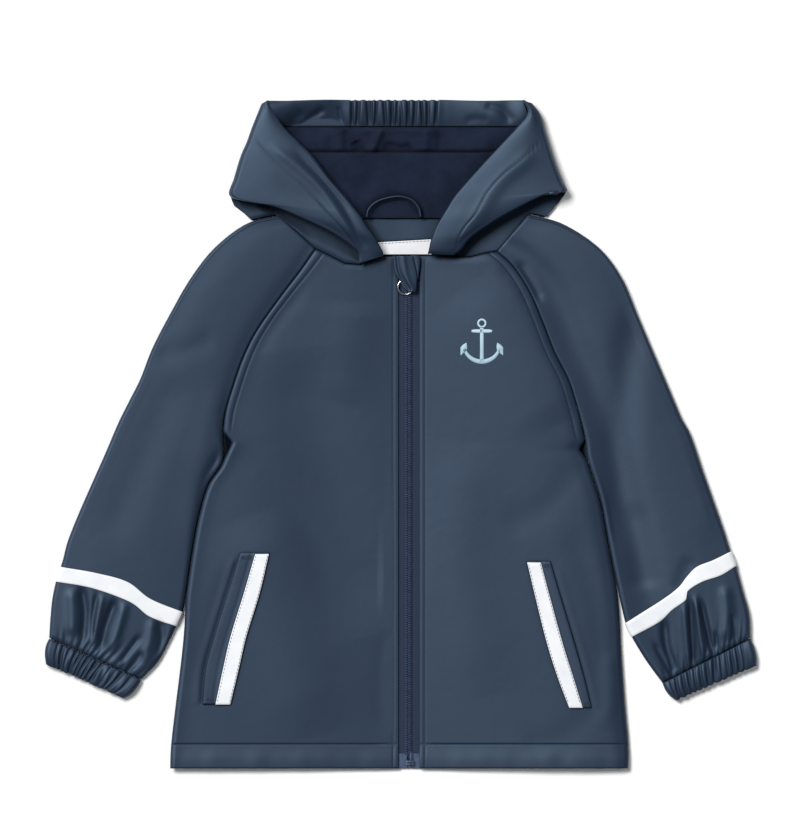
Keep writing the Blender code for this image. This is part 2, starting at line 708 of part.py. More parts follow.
def make_linings():
    """Fleece: a flat part at the crown, and the back part that swells over it."""
    shares = np.linspace(0, 1, 9)
    low, high = [], []
    for row in (LiningRow(*values) for values in CROWN_LINING):
        across = row.right_x + (row.left_x - row.right_x) * shares
        low.append([(x, row.y, HOOD_LAYER_1) for x in across])
        high.append([(x, row.y, HOOD_LAYER_1 + FLEECE) for x in across])
    add_sheet("hood_lining_crown", high, low, "fleece")
    low, high = [], []
    for number, row in enumerate(LiningRow(*values) for values in BACK_LINING):
        across = row.right_x + (row.left_x - row.right_x) * shares
        top = HOOD_LAYER_2 + FLEECE + BACK_LINING_SWELL[number] * np.sin(math.pi * shares)
        low.append([(x, row.y, HOOD_LAYER_2) for x in across])
        high.append([(x, row.y, z) for x, z in zip(across, top)])
    add_sheet("hood_lining_back", high, low, "fleece")


def make_casing():
    """The turned-in front edge of the hood, gathered on its elastic."""
    plain = 5
    steps = 3 * CASING_GATHERS
    low_x, high_x = CASING_GATHERED_X
    middle = [low_x + (high_x - low_x) * i / steps for i in range(steps + 1)]
    outer, inner = [], []
    for share, top in ((0.0, 4.2), (0.15, 5.5), (0.55, CASING_TOP), (0.88, 5.4), (1.0, 4.2)):
        y = CASING_Y[0] + (CASING_Y[1] - CASING_Y[0]) * share
        ends = []
        for side in (RIGHT, LEFT):
            xs, ys = zip(*sorted(CASING_ENDS[side], key=lambda p: p[1]))
            ends.append(float(np.interp(y, ys, xs)))
        across = [ends[0] + (low_x - ends[0]) * i / plain for i in range(plain)]
        across += middle
        across += [high_x + (ends[1] - high_x) * (i + 1) / plain for i in range(plain)]
        out_row, in_row = [], []
        for x in across:
            inside = (x - low_x) / (high_x - low_x)
            gather = 0.0
            if 0 < inside < 1:
                turns = CASING_GATHERS * inside + 0.3 * math.sin(11 * inside + 1.5 * share)
                gather = CASING_GATHER_HEIGHT * (0.5 - 0.5 * math.cos(2 * math.pi * turns))
                gather *= math.sin(math.pi * inside) ** 0.3
            edge = 0.6 * gather if share == 1.0 else 0.0
            out_row.append((x, y + edge, top + gather * (0.4 + 0.6 * math.sin(math.pi * share))))
            in_row.append((x, y + edge, HOOD_LAYER_1))
        outer.append(out_row)
        inner.append(in_row)
    add_sheet("hood_casing", outer, inner, "coated_cloth")


# ---------------------------------------------------------------- neck


def box_outline(x0, y0, x1, y1):
    return ((x0, y0), (x1, y0), (x1, y1), (x0, y1))


def make_neck_pieces():
    add_plate("neck_facing", box_outline(*FACING_BOX), LAYER_1, LAYER_1 + WALL, "coated_cloth")
    add_plate("neck_label", box_outline(*LABEL_BOX), LAYER_1, LAYER_1 + WEBBING, "white_label")
    route = smooth_rows(LOOP_ROUTE, [i / 3 for i in range(3 * len(LOOP_ROUTE) - 2)])
    heading = np.gradient(route, axis=0)
    heading /= np.linalg.norm(heading, axis=1)[:, None]
    side = np.stack([-heading[:, 1], heading[:, 0]], axis=1) * WALL / 2
    low = HOOD_LAYER_2 + FLEECE + 2 * SEAM
    outer = [[(*(p + s), low), (*(p + s), low + LOOP_TALL)] for p, s in zip(route, side)]
    inner = [[(*(p - s), low), (*(p - s), low + LOOP_TALL)] for p, s in zip(route, side)]
    add_sheet("hanger_loop", outer, inner, "coated_cloth")


# ---------------------------------------------------------------- zip


def make_ring(name, centre, height, radius, wire, finish):
    """A closed ring of round wire, lying flat."""
    around, about = 28, 8
    points, faces = [], []
    for i in range(around):
        a = 2 * math.pi * i / around
        for j in range(about):
            b = 2 * math.pi * j / about
            reach = radius + wire * math.cos(b)
            spot = (centre[0] + reach * math.cos(a), centre[1] + reach * math.sin(a))
            points.append((*spot, height + wire * math.sin(b)))
    for i in range(around):
        for j in range(about):
            k, m = (i + 1) % around, (j + 1) % about
            faces.append((i * about + j, i * about + m, k * about + m, k * about + j))
    add_piece(name, points, faces, finish)


def make_zip():
    tooth_low = LAYER_1 + WEBBING + SEAM
    for side in (RIGHT, LEFT):
        sign = side_sign(side)
        tape = box_outline(sign * 0.4, HEM_Y + 0.5, sign * ZIP_TAPE_X, NECK_Y)
        add_plate(f"zip_tape_{side}", tape, LAYER_1, LAYER_1 + WEBBING, "zip_cloth")
        teeth = box_outline(sign * 0.35, HEM_Y + 13, sign * TOOTH_X, SLIDER_Y[0] - SEAM)
        add_plate(f"zip_teeth_{side}", teeth, tooth_low, tooth_low + 1.8, "zip_teeth")
    box = box_outline(-4.2, HEM_Y + 1.5, 4.6, HEM_Y + 12)
    add_plate("zip_box", box, tooth_low, tooth_low + 3.0, "zip_teeth")
    low_y, high_y = SLIDER_Y
    wide_y = high_y - 4
    outline = ((-3.2, low_y), (3.2, low_y), (4.4, wide_y), (3.6, high_y), (-3.6, high_y), (-4.4, wide_y))
    add_plate("zip_slider", outline, tooth_low, SLIDER_TOP, "bright_metal")
    make_ring("zip_ring", RING_CENTRE, 6.0, RING_RADIUS, RING_WIRE, "bright_metal")
    add_plate("zip_pull", PULL_OUTLINE, SLIDER_TOP + SEAM, SLIDER_TOP + SEAM + WALL, "coated_cloth")


clear_scene()
sleeve_points = make_sleeves()
make_back(sleeve_points)
for wearer_side in (RIGHT, LEFT):
    make_cuff(wearer_side)
    front_panel, front_points = make_front(wearer_side, sleeve_points[wearer_side])
    make_pocket(wearer_side, front_panel)
    make_wing(wearer_side)
    make_hood_neck(wearer_side, front_points, sleeve_points[wearer_side])
make_hood_underside()
make_linings()
make_casing()
make_neck_pieces()
make_zip()
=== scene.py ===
"""Looks for a child's hooded raincoat of coated cloth that lies flat on its back, front up.

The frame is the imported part's own: metres, +X to the wearer's left, +Y towards the hood, +Z up.
Tables and sizes below are in millimetres in that frame.
"""

import math
from collections import namedtuple

import bpy
import numpy as np
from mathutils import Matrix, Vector
from mathutils.bvhtree import BVHTree


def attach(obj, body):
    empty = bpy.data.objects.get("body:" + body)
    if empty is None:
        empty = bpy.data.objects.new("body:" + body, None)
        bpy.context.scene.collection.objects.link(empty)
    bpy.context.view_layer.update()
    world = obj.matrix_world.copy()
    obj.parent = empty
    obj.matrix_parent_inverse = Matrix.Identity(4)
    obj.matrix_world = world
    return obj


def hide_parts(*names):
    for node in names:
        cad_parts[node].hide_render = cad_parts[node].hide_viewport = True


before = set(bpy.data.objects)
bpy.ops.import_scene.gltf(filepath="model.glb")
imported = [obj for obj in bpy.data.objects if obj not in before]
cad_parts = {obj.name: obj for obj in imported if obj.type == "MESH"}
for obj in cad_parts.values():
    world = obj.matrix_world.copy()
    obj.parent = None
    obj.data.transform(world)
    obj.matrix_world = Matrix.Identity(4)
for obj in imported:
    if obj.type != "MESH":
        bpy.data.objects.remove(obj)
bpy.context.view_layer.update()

# ---------------------------------------------------------------- camera
# The coat lies flat and is seen from straight above, from so far that its sides hardly show.
# The view holds the whole coat with a margin of floor all round.
VIEW_CENTRE = (-0.0032, 0.0147)  # metres
VIEW_TALL = 0.771
CAMERA_HEIGHT = 20.0
SENSOR_MM = 36.0

camera_data = bpy.data.cameras.new("camera")
camera_data.sensor_width = SENSOR_MM
camera_data.lens = SENSOR_MM * CAMERA_HEIGHT / VIEW_TALL
camera = bpy.data.objects.new("camera", camera_data)
camera.location = (*VIEW_CENTRE, CAMERA_HEIGHT)
bpy.context.scene.collection.objects.link(camera)
bpy.context.scene.camera = camera

# ---------------------------------------------------------------- floor and light
# A plain white table top under soft studio light: the main soft box stands beyond the wearer's right
# shoulder and is the only box that shows in the cloth's sheen. Two weaker ones light the other sides,
# and the surround is even and pale.
FLOOR_HALF = 3.0  # metres
FLOOR_COLOUR = (0.93, 0.93, 0.93, 1.0)
SURROUND = (0.93, 0.96, 1.0, 1.0)
SURROUND_STRENGTH = 0.13
FLOOR_DROP = 0.0002  # metres that the floor lies under the coat
SoftBox = namedtuple("SoftBox", "name x y z wide tall watts")
SOFT_BOXES = (
    SoftBox("main_box", -9.0, 8.9, 18.0, 10.4, 8.4, 5900.0),
    SoftBox("left_box", 15.0, 2.4, 13.0, 8.0, 6.4, 420.0),
    SoftBox("hem_box", 2.4, -14.0, 14.0, 8.8, 6.4, 420.0),
)

floor_mesh = bpy.data.meshes.new("floor")
floor_mesh.from_pydata(
    [(x * FLOOR_HALF, y * FLOOR_HALF, 0.0) for x, y in ((-1, -1), (1, -1), (1, 1), (-1, 1))],
    [],
    [(0, 1, 2, 3)],
)
floor = bpy.data.objects.new("floor", floor_mesh)
floor.location.z = -FLOOR_DROP
bpy.context.scene.collection.objects.link(floor)
floor_paint = bpy.data.materials.new("floor_paint")
floor_paint.use_nodes = True
floor_paint.node_tree.nodes["Principled BSDF"].inputs["Base Color"].default_value = FLOOR_COLOUR
floor_paint.node_tree.nodes["Principled BSDF"].inputs["Roughness"].default_value = 0.9
floor_mesh.materials.append(floor_paint)

for box in SOFT_BOXES:
    lamp = bpy.data.lights.new(box.name, "AREA")
    lamp.shape = "RECTANGLE"
    lamp.size, lamp.size_y = box.wide, box.tall
    lamp.energy = box.watts
    holder = bpy.data.objects.new(box.name, lamp)
    holder.location = (box.x, box.y, box.z)
    holder.rotation_mode = "QUATERNION"
    holder.rotation_quaternion = (Vector((0, 0, 0)) - holder.location).to_track_quat("-Z", "Y")
    holder.visible_glossy = box.name == "main_box"
    bpy.context.scene.collection.objects.link(holder)

surround = bpy.data.worlds.new("surround")
surround.use_nodes = True
surround.node_tree.nodes["Background"].inputs["Color"].default_value = SURROUND
surround.node_tree.nodes["Background"].inputs["Strength"].default_value = SURROUND_STRENGTH
bpy.context.scene.world = surround
bpy.context.scene.view_settings.view_transform = "Standard"

# ---------------------------------------------------------------- sleeves
# Each raglan sleeve is one piece of navy coated cloth that wraps from the back seam under the arm's
# outer fold to the front seam. It lies flat, and is full and creased where the cuff gathers it.
MM = 0.001
RIGHT, LEFT = "right", "left"
WALL = 1.5  # coated cloth
SEAM = 0.12  # half of the gap at a seam
LAYER_1 = 1.8  # underside of what lies on the bottom layer
PRESSED_TOP = LAYER_1 + WALL
SEAM_TOP = 6.8
SLEEVE_TOP = 8.4
SLEEVE_HEIGHTS = {  # at equal shares from the outer fold to the front seam
    RIGHT: (8.4, 9.4, 9.3, 8.6, 7.2),
    LEFT: (8.4, 9.6, 9.0, 5.8, 8.2),
}
FOLD_REACH = 3.4  # the outer fold rounds off this far in
SIDE_REACH = 5.0  # the underarm and side seams round off this far in
ARMPIT_ROW = 7
SLEEVES = {  # front seam x y, back seam x y, outer fold x y, from the neck seam to the cuff seam
    RIGHT: (
        (-86, 171, -62, 198, -120, 202),
        (-100, 151, -83, 170, -150, 194),
        (-119, 126, -106, 139, -179, 172),
        (-140, 96, -131, 105, -201, 144),
        (-153, 70, -149, 74, -220, 111),
        (-163, 41, -162, 43, -236, 80),
        (-169, 20, -169, 20, -247, 52),
        (-171, 3, -171, 3, -257, 32),
        (-171, -24, -171, -24, -267, 12),
        (-185, -47, -185, -47, -279, -16),
        (-194, -78, -194, -78, -291, -43),
        (-200.5, -115, -200.5, -115, -305, -75),
        (-205, -146, -205, -146, -314, -98),
        (-208, -162, -208, -162, -319, -117),
        (-214, -176, -214, -176, -324, -132),
        (-221, -191, -221, -191, -328, -150),
        (-231, -209, -231, -209, -330, -170),
        (-246, -225, -246, -225, -331, -187),
    ),
    LEFT: (
        (81, 169, 53, 198, 110, 203),
        (96, 155, 78, 170, 142, 194),
        (111, 132, 99, 142, 175, 172),
        (123, 104, 116, 110, 196, 144),
        (134, 76, 131, 79, 210, 111),
        (147, 50, 146, 51, 224, 78),
        (156, 21, 156, 21, 239, 43),
        (162, -5, 162, -5, 250, 17),
        (164.5, -24, 164.5, -24, 259, 0),
        (176, -60, 176, -60, 271, -35),
        (183, -97, 183, -97, 282, -66),
        (190, -133, 190, -133, 290, -89),
        (199, -173, 199, -173, 295, -105),
        (205, -186, 205, -186, 301, -121),
        (215, -203, 215, -203, 307, -143),
        (224, -216, 224, -216, 313, -165),
        (233, -228, 233, -228, 314, -187),
    ),
}
ROWS_A_PLACE = 10
TOP_SHARES = np.concatenate([np.linspace(0, 0.95, 112), np.linspace(0.957, 1, 8)])
FOLD_ANGLES = np.radians(np.linspace(-80, 80, 12))
UNDER_SHARES = np.linspace(0, 1, 9)
FIRST_TOP = len(FOLD_ANGLES) + len(UNDER_SHARES)  # first column on the upper side

Crease = namedtuple("Crease", "x0 y0 x1 y1 x2 y2 width rise")
SLEEVE_CREASES = {
    RIGHT: (
        (-235, 75, -205, 85, -180, 95, 10, -0.52),
        (-224, 64, -257, -14, -292, -101, 18.4, -1.1),
        (-178, 51, -197, -14, -215, -115, 13.8, 0.72),
        (-172, -9, -188, -41, -195, -92, 5.5, -1.68),
        (-303, -139, -300, -163, -303, -190, 3.9, -3.43),
        (-272, -150, -280, -172, -287, -199, 3.9, -3.43),
        (-288, -144, -292, -168, -293, -190, 2.2, -1.52),
        (-231, -168, -229, -189, -233, -204, 4.2, -2.35),
        (-248, -183, -258, -196, -267, -209, 2.9, -1.81),
        (-246, -198, -254, -207, -262, -217, 2.9, -1.75),
        (-313, -141, -312, -163, -313, -185, 5.1, 1.92),
        (-283, -146, -288, -170, -293, -194, 2.9, 1.52),
        (-263, -152, -270, -178, -277, -200, 4.2, 1.92),
        (-238, -168, -241, -189, -247, -209, 4.6, 1.52),
    ),
    LEFT: (
        (200, 120, 188, 30, 184, -110, 15, -2.1),
        (226, 97, 257, -5, 273, -101, 16.6, 0.72),
        (199, -60, 207, -115, 213, -144, 12, -1.3),
        (98, 159, 109, 140, 119, 121, 5.5, -1.84),
        (255, -111, 248, -128, 241, -143, 7, -0.7),
        (257, -150, 259, -184, 261, -215, 2.6, -3.43),
        (267, -150, 273, -178, 279, -204, 2.6, -3.43),
        (280, -181, 282, -191, 284, -201, 2.2, -1.68),
        (296, -164, 298, -179, 297, -191, 2.6, -1.68),
        (233, -168, 236, -196, 247, -223, 3.5, -3.04),
        (225, -191, 234, -208, 242, -224, 2.6, -1.68),
        (251, -152, 253, -184, 255, -213, 3.3, 1.52),
        (262, -148, 266, -179, 270, -208, 2.6, 2.08),
        (288, -138, 290, -163, 288, -190, 5.1, 1.92),
        (306, -141, 309, -164, 309, -185, 4.2, 1.28),
    ),
}
Gather = namedtuple("Gather", "share slant width depth")
GATHERS = {  # folds drawn in by the cuff's elastic, shares from the inner seam to the outer fold
    RIGHT: (
        (0.06, 0.03, 0.018, 1.15), (0.17, 0.04, 0.022, 2.02), (0.24, 0.02, 0.015, 0.86),
        (0.31, 0.02, 0.015, 0.79), (0.405, 0.05, 0.020, 1.94), (0.465, 0.05, 0.020, 2.23),
        (0.525, 0.04, 0.013, 1.22), (0.57, 0.05, 0.016, 1.87), (0.62, 0.04, 0.013, 1.58),
        (0.66, 0.05, 0.016, 1.87), (0.715, 0.02, 0.018, 2.23), (0.79, 0.02, 0.013, 0.86),
        (0.865, -0.01, 0.020, 1.8), (0.93, -0.01, 0.015, 1.01),
    ),
    LEFT: (
        (0.05, -0.06, 0.016, 1.15), (0.12, -0.10, 0.020, 2.02), (0.20, -0.09, 0.018, 1.66),
        (0.27, -0.09, 0.018, 1.87), (0.345, -0.10, 0.019, 1.8), (0.42, -0.10, 0.018, 1.58),
        (0.50, -0.10, 0.018, 1.58), (0.595, -0.12, 0.022, 2.3), (0.67, -0.09, 0.016, 1.37),
        (0.735, -0.07, 0.017, 1.58), (0.80, -0.06, 0.016, 1.37), (0.865, -0.05, 0.017, 1.66),
        (0.93, -0.04, 0.015, 1.15),
    ),
}
SEAM_HOLLOW = {RIGHT: 0.8, LEFT: 0}  # how much the sleeve sinks towards its raglan seam
LEAN = np.array((0.74, -0.67))  # from the line where a crease takes or loses the light to its middle
NAVY, NAVY_LIGHT = (0.0044, 0.0104, 0.0245, 1.0), (0.0058, 0.0128, 0.0285, 1.0)
# The darkest navy below is painted shade: the colour the cloth takes deep in folds and under overhangs.
NAVY_PAINTED_SHADE = (0.0010, 0.0030, 0.0080, 1.0)
COAT_SHINE, COAT_TINT = 0.86, (0.53, 0.73, 1.0, 1.0)
COAT_ROUGH, FOLD_ROUGH = 0.56, 0.95  # in the open, and deep in a fold
RIM_INSET, RIM_MOST = 0.28, 0.45  # how far a cut edge is drawn in: share of the wall, share of a cell


def through(table, places):
    """Points on a smooth curve through a table's rows, at places counted in rows."""
    table = np.array(table, float)
    padded = np.vstack([2 * table[0] - table[1], table, 2 * table[-1] - table[-2]])
    places = np.asarray(places, float)
    k = np.clip(places.astype(int), 0, len(table) - 2)
    t = (places - k)[:, None]
    a, b, c, d = (padded[k + i] for i in range(4))
    return 0.5 * (2 * b + (c - a) * t + (2 * a - 5 * b + 4 * c - d) * t**2 + (3 * b - a - 3 * c + d) * t**3)


def spread(table, count):
    """A number of points on that curve, from its first row to its last."""
    return through(table, np.linspace(0, len(table) - 1, count))


def ease(share):
    """0 to 1 with soft ends."""
    share = np.clip(share, 0.0, 1.0)
    return share * share * (3 - 2 * share)


def rounded(inside, reach):
    """0 at an edge, rising steeply at first, to 1 at reach: the side of a soft roll."""
    return np.sqrt(np.clip(1 - (1 - np.clip(inside / reach, 0, 1)) ** 2, 0, 1))


def bell(away, width):
    """1 at a line, falling off softly on both sides of it."""
    return np.exp(-((away / width) ** 2))


def sideways(heading):
    """Unit directions a quarter turn to the left of given ones."""
    return np.stack([-heading[:, 1], heading[:, 0]], axis=1) / np.linalg.norm(heading, axis=1)[:, None]


def line_distance(x, y, line):
    """How far places are from a bent line, and the share of the line where each is nearest."""
    best, where = np.full(x.shape, 1e9), np.zeros(x.shape)
    steps = len(line) - 1
    for i in range(steps):
        ax, ay = line[i]
        dx, dy = line[i + 1][0] - ax, line[i + 1][1] - ay
        share = np.clip(((x - ax) * dx + (y - ay) * dy) / (dx * dx + dy * dy), 0, 1)
        away = np.hypot(x - ax - share * dx, y - ay - share * dy)
        where = np.where(away < best, (i + share) / steps, where)
        best = np.minimum(away, best)
    return best, where


def crease_height(x, y, creases):
    """Sum of soft ridges and troughs at places; each follows a bent line and dies out at its ends."""
    total = np.zeros(x.shape)
    for c in (Crease(*row) for row in creases):
        line = spread(((c.x0, c.y0), (c.x1, c.y1), (c.x2, c.y2)), 9)
        aside = sideways(np.gradient(line, axis=0))
        line = line + aside * (aside @ LEAN)[:, None] * 0.7 * c.width
        away, where = line_distance(x, y, line)
        ends = ease(where * 4 + 0.2) * ease((1 - where) * 4 + 0.2)
        total += c.rise * bell(away, c.width) * ends
    return total


def mesh_piece(name, points, faces, material, slot="coated_cloth"):
    """A smooth piece from points in millimetres. It rides on the coat's one body."""
    mesh = bpy.data.meshes.new(name)
    mesh.from_pydata((np.asarray(points, float) * MM).tolist(), [], faces)
    mesh.validate()
    mesh.shade_smooth()
    mesh.materials.append(material)
    piece = bpy.data.objects.new(name, mesh)
    bpy.context.scene.collection.objects.link(piece)
    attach(piece, "root")
    return piece


def grid_faces(rows, columns, start=0, flip=False, closed=False):
    """Quads between the points of a grid; closed joins the last column to the first."""
    faces = []
    for r in range(rows - 1):
        for c in range(columns if closed else columns - 1):
            d = (c + 1) % columns
            quad = (start + r * columns + c, start + r * columns + d,
                    start + (r + 1) * columns + d, start + (r + 1) * columns + c)
            faces.append(quad[::-1] if flip else quad)
    return faces


def wall_normals(outer, up_column, closed=False):
    """Directions out of the cloth at each point of a grid."""
    wrapped = np.concatenate([outer[:, -1:], outer, outer[:, :1]], axis=1) if closed else outer
    across = np.gradient(wrapped, axis=1)
    across = across[:, 1:-1] if closed else across
    normal = np.cross(across, np.gradient(outer, axis=0))
    normal /= np.maximum(np.linalg.norm(normal, axis=2), 1e-9)[..., None]
    return normal * np.sign(np.mean(normal[:, up_column, 2]))


def cloth(name, outer, wall, material, slot="coated_cloth", up_column=-1, floor_z=None):
    """A sheet of cloth with a real wall from the points of its outer face, its rim rounded."""
    outer = np.array(outer, float)
    normal = wall_normals(outer, up_column)
    inner = outer - normal * wall
    if floor_z is not None:
        inner[..., 2] = np.maximum(inner[..., 2], floor_z)
    rows, columns = outer.shape[:2]
    rim = (outer + inner) / 2
    for face in (outer, inner):
        shifted = face.copy()
        for edge, beside in ((np.s_[0, :], np.s_[1, :]), (np.s_[-1, :], np.s_[-2, :]),
                             (np.s_[:, 0], np.s_[:, 1]), (np.s_[:, -1], np.s_[:, -2])):
            step = face[beside] - face[edge]
            length = np.maximum(np.linalg.norm(step, axis=-1, keepdims=True), 1e-6)
            shifted[edge] += step * np.minimum(RIM_INSET * wall / length, RIM_MOST)
        face[:] = shifted
    up = np.sign((np.cross(outer[0, 1] - outer[0, 0], outer[1, 0] - outer[0, 0]) * normal[0, 0]).sum())
    half = rows * columns
    faces = grid_faces(rows, columns, 0, up < 0) + grid_faces(rows, columns, half, up > 0)
    ring = [(0, c) for c in range(columns)] + [(r, columns - 1) for r in range(1, rows)]
    ring += [(rows - 1, c) for c in range(columns - 2, -1, -1)] + [(r, 0) for r in range(rows - 2, 0, -1)]
    rim_points = [rim[r, c] for r, c in ring]
    count = len(ring)
    for i in range(count):
        j = (i + 1) % count
        (ra, ca), (rb, cb) = ring[i], ring[j]
        a, b = ra * columns + ca, rb * columns + cb
        top = (b, a, 2 * half + i, 2 * half + j)
        low = (half + a, half + b, 2 * half + j, 2 * half + i)
        faces += [top, low] if up > 0 else [top[::-1], low[::-1]]
    points = np.concatenate([outer.reshape(-1, 3), inner.reshape(-1, 3), np.array(rim_points)])
    return mesh_piece(name, points, faces, material, slot)


def add_node(tree, kind, links=(), **values):
    """A shader node with its input values set, linked from (input name, output socket) pairs."""
    node = tree.nodes.new(kind)
    for key, value in values.items():
        if key in node.inputs:
            node.inputs[key].default_value = value
        else:
            setattr(node, key, value)
    for key, socket in links:
        tree.links.new(socket, node.inputs[key])
    return node


def blended(tree, share, low, high):
    """A colour between two, by a share from a texture."""
    ramp = add_node(tree, "ShaderNodeValToRGB", [("Fac", share)])
    for stop, colour, position in zip(ramp.color_ramp.elements, (low, high), (0.3, 0.7)):
        stop.color, stop.position = colour, position
    return ramp.outputs["Color"]


def start_material(name):
    """A new material, its nodes, its shader, and the place on the piece for its textures."""
    made = bpy.data.materials.new(name)
    made.use_nodes = True
    tree = made.node_tree
    return made, tree, tree.nodes["Principled BSDF"], add_node(tree, "ShaderNodeTexCoord").outputs["Object"]


def noise(tree, place, scale, detail, **values):
    """A share that wanders softly from place to place."""
    made = add_node(tree, "ShaderNodeTexNoise", [("Vector", place)], Scale=scale, Detail=detail, **values)
    return made.outputs["Fac"]


def weave(tree, place, scale, distortion, direction):
    """A share that goes up and down across fine parallel threads."""
    made = add_node(tree, "ShaderNodeTexWave", [("Vector", place)], Scale=scale, Distortion=distortion,
                    bands_direction=direction)
    return made.outputs["Fac"]


def relief(tree, height, strength, distance, below=()):
    """A surface raised by a share from a texture, over another relief if one is given."""
    links = [("Height", height), *(("Normal", normal) for normal in below)]
    return add_node(tree, "ShaderNodeBump", links, Strength=strength, Distance=distance).outputs["Normal"]


def roughness(tree, shader, share, low, high):
    """Roughness between two values, by a share."""
    gloss = add_node(tree, "ShaderNodeMapRange", [("Value", share)], **{"To Min": low, "To Max": high})
    tree.links.new(gloss.outputs["Result"], shader.inputs["Roughness"])


def with_painted_fold_shade(tree, colour, shade_colour, depth, lowest, highest):
    """Painted shade: a colour darkened towards a shade colour in folds and under overhangs, and a share that
    is 1 in the open.
    """
    hollow = add_node(tree, "ShaderNodeAmbientOcclusion", samples=8, Distance=depth).outputs["AO"]
    limits = {"From Min": lowest, "From Max": highest}
    share = add_node(tree, "ShaderNodeMapRange", [("Value", hollow)], **limits).outputs["Result"]
    mixed = add_node(tree, "ShaderNodeMixRGB", [("Fac", share), ("Color2", colour)], Color1=shade_colour)
    return mixed.outputs["Color"], share


def make_coated_cloth():
    """Navy cloth with a thin rubbery coat: soft sheen, a very fine grain and faint uneven gloss; painted
    shade darkens it in folds.
    """
    made, tree, shader, place = start_material("coated_cloth")
    cloud = blended(tree, noise(tree, place, 9.0, 2.0), NAVY, NAVY_LIGHT)
    # Painted shade: the cloth's colour darkens in folds and under overhangs.
    colour, share = with_painted_fold_shade(tree, cloud, NAVY_PAINTED_SHADE, 0.024, 0.42, 0.95)
    tree.links.new(colour, shader.inputs["Base Color"])
    roughness(tree, shader, share, FOLD_ROUGH, COAT_ROUGH)
    shader.inputs["Specular IOR Level"].default_value = COAT_SHINE
    shader.inputs["Specular Tint"].default_value = COAT_TINT
    rubbed = relief(tree, noise(tree, place, 70.0, 4.0), 0.25, 0.0006)
    grain = relief(tree, noise(tree, place, 1400.0, 2.0), 0.35, 0.00012, [rubbed])
    tree.links.new(grain, shader.inputs["Normal"])
    return made


coated_cloth = make_coated_cloth()


def side_sign(side):
    return -1 if side == RIGHT else 1


def sleeve_outer(side):
    """Outer points of a sleeve: under side, round outer fold, then the upper side to the front seam."""
    sign = side_sign(side)
    last = len(SLEEVES[side]) - 1
    places = np.linspace(0, last, last * ROWS_A_PLACE + 1)
    line = through(SLEEVES[side], places)
    front, back, fold = line[:, 0:2].copy(), line[:, 2:4].copy(), line[:, 4:6]
    front[:, 0] += sign * SEAM
    back[:, 0] += sign * SEAM
    to_front, to_back = front - fold, back - fold
    wide = np.linalg.norm(to_front, axis=1)
    to_front /= wide[:, None]
    to_back /= np.linalg.norm(to_back, axis=1)[:, None]
    radius = SLEEVE_TOP / 2
    columns = []
    for share in UNDER_SHARES:
        spot = back + (fold + to_back * FOLD_REACH - back) * share
        columns.append(np.column_stack([spot, np.zeros(len(spot))]))
    for angle in FOLD_ANGLES:
        heading = to_back + (to_front - to_back) * (math.degrees(angle) + 90) / 180
        spot = fold + heading * FOLD_REACH * (1 - math.cos(angle))
        columns.append(np.column_stack([spot, np.full(len(spot), radius * (1 + math.sin(angle)))]))
    pressed = ease((places - ARMPIT_ROW + 1.5) / 2.5)
    near_neck = ease(places / 1.5)
    full = 0.4 + 0.6 * ease((wide - 40) / 55)
    profile = np.array(SLEEVE_HEIGHTS[side])[:, None]
    middle = (front + fold) / 2
    up = np.linalg.norm(middle - middle[-1], axis=1)
    for share in TOP_SHARES:
        spot = fold + to_front * (FOLD_REACH + (wide - FOLD_REACH) * share)[:, None]
        inside = (wide - FOLD_REACH) * (1 - share)
        top = SEAM_TOP + (float(through(profile, [share * (len(profile) - 1)])[0, 0]) - SEAM_TOP) * full
        fade = ease(share * wide / 12 + 0.25) * ease(inside / 9 + 0.12)
        top = top + fade * crease_height(spot[:, 0], spot[:, 1], SLEEVE_CREASES[side])
        for gather in (Gather(*values) for values in GATHERS[side]):
            off = (1 - share - gather.share + gather.slant * up / 20) / (1.3 * gather.width)
            top -= 0.7 * gather.depth * np.exp(-(off**2) - (up / (7 + 5 * gather.depth)) ** 2)
        top -= 1.5 * bell(up, 2.2) + 0.5 * (1 - near_neck) * fade
        top -= (1 - pressed) * (0.9 * bell(inside, 0.9) + SEAM_HOLLOW[side] * bell(inside, 8))
        top -= (SEAM_TOP - PRESSED_TOP) * pressed * (1 - rounded(inside, SIDE_REACH))
        columns.append(np.column_stack([spot, np.maximum(top, PRESSED_TOP - 0.2)]))
    return np.stack(columns, axis=1)


sleeve_points, sleeve_pieces = {}, {}
for side in (RIGHT, LEFT):
    sleeve_points[side] = sleeve_outer(side)
    sleeve_pieces[side] = cloth(f"sleeve_{side}_cloth", sleeve_points[side], WALL, coated_cloth)
    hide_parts(f"sleeve_{side}")

# ---------------------------------------------------------------- sleeve tapes
# A strip of pale retroreflective tape is fixed flat across each sleeve above the cuff. It follows the
# folds from the seam over the upper side and ends low on the outer fold. No stitches are built on it.
TAPE_WALL = 0.7
TAPE_EDGES = {  # upper and lower edge of the tape across each sleeve, from one side to the other
    RIGHT: (
        ((-319.5, -121.4), (-287.3, -127), (-258.7, -135.2), (-237.4, -150.9), (-205.5, -163.8)),
        ((-324.1, -135), (-291.6, -140.8), (-256.7, -153.6), (-238.3, -167.2), (-212.7, -176.4)),
    ),
    LEFT: (
        ((198.7, -173.2), (234, -150.8), (248.3, -139.6), (255.5, -130.4), (264.7, -121.2), (279.9, -115),
         (295.3, -107.4)),
        ((205.3, -185.6), (229.9, -172.2), (242, -161), (254.5, -151.8), (256.5, -143.5), (269.6, -135.1),
         (287, -129), (300.5, -120.5)),
    ),
}
TAPE_START = len(UNDER_SHARES) + 4  # the tape's end, low on the outer fold
TAPE_PALE, TAPE_GREY = (0.80, 0.81, 0.83, 1.0), (0.72, 0.74, 0.77, 1.0)


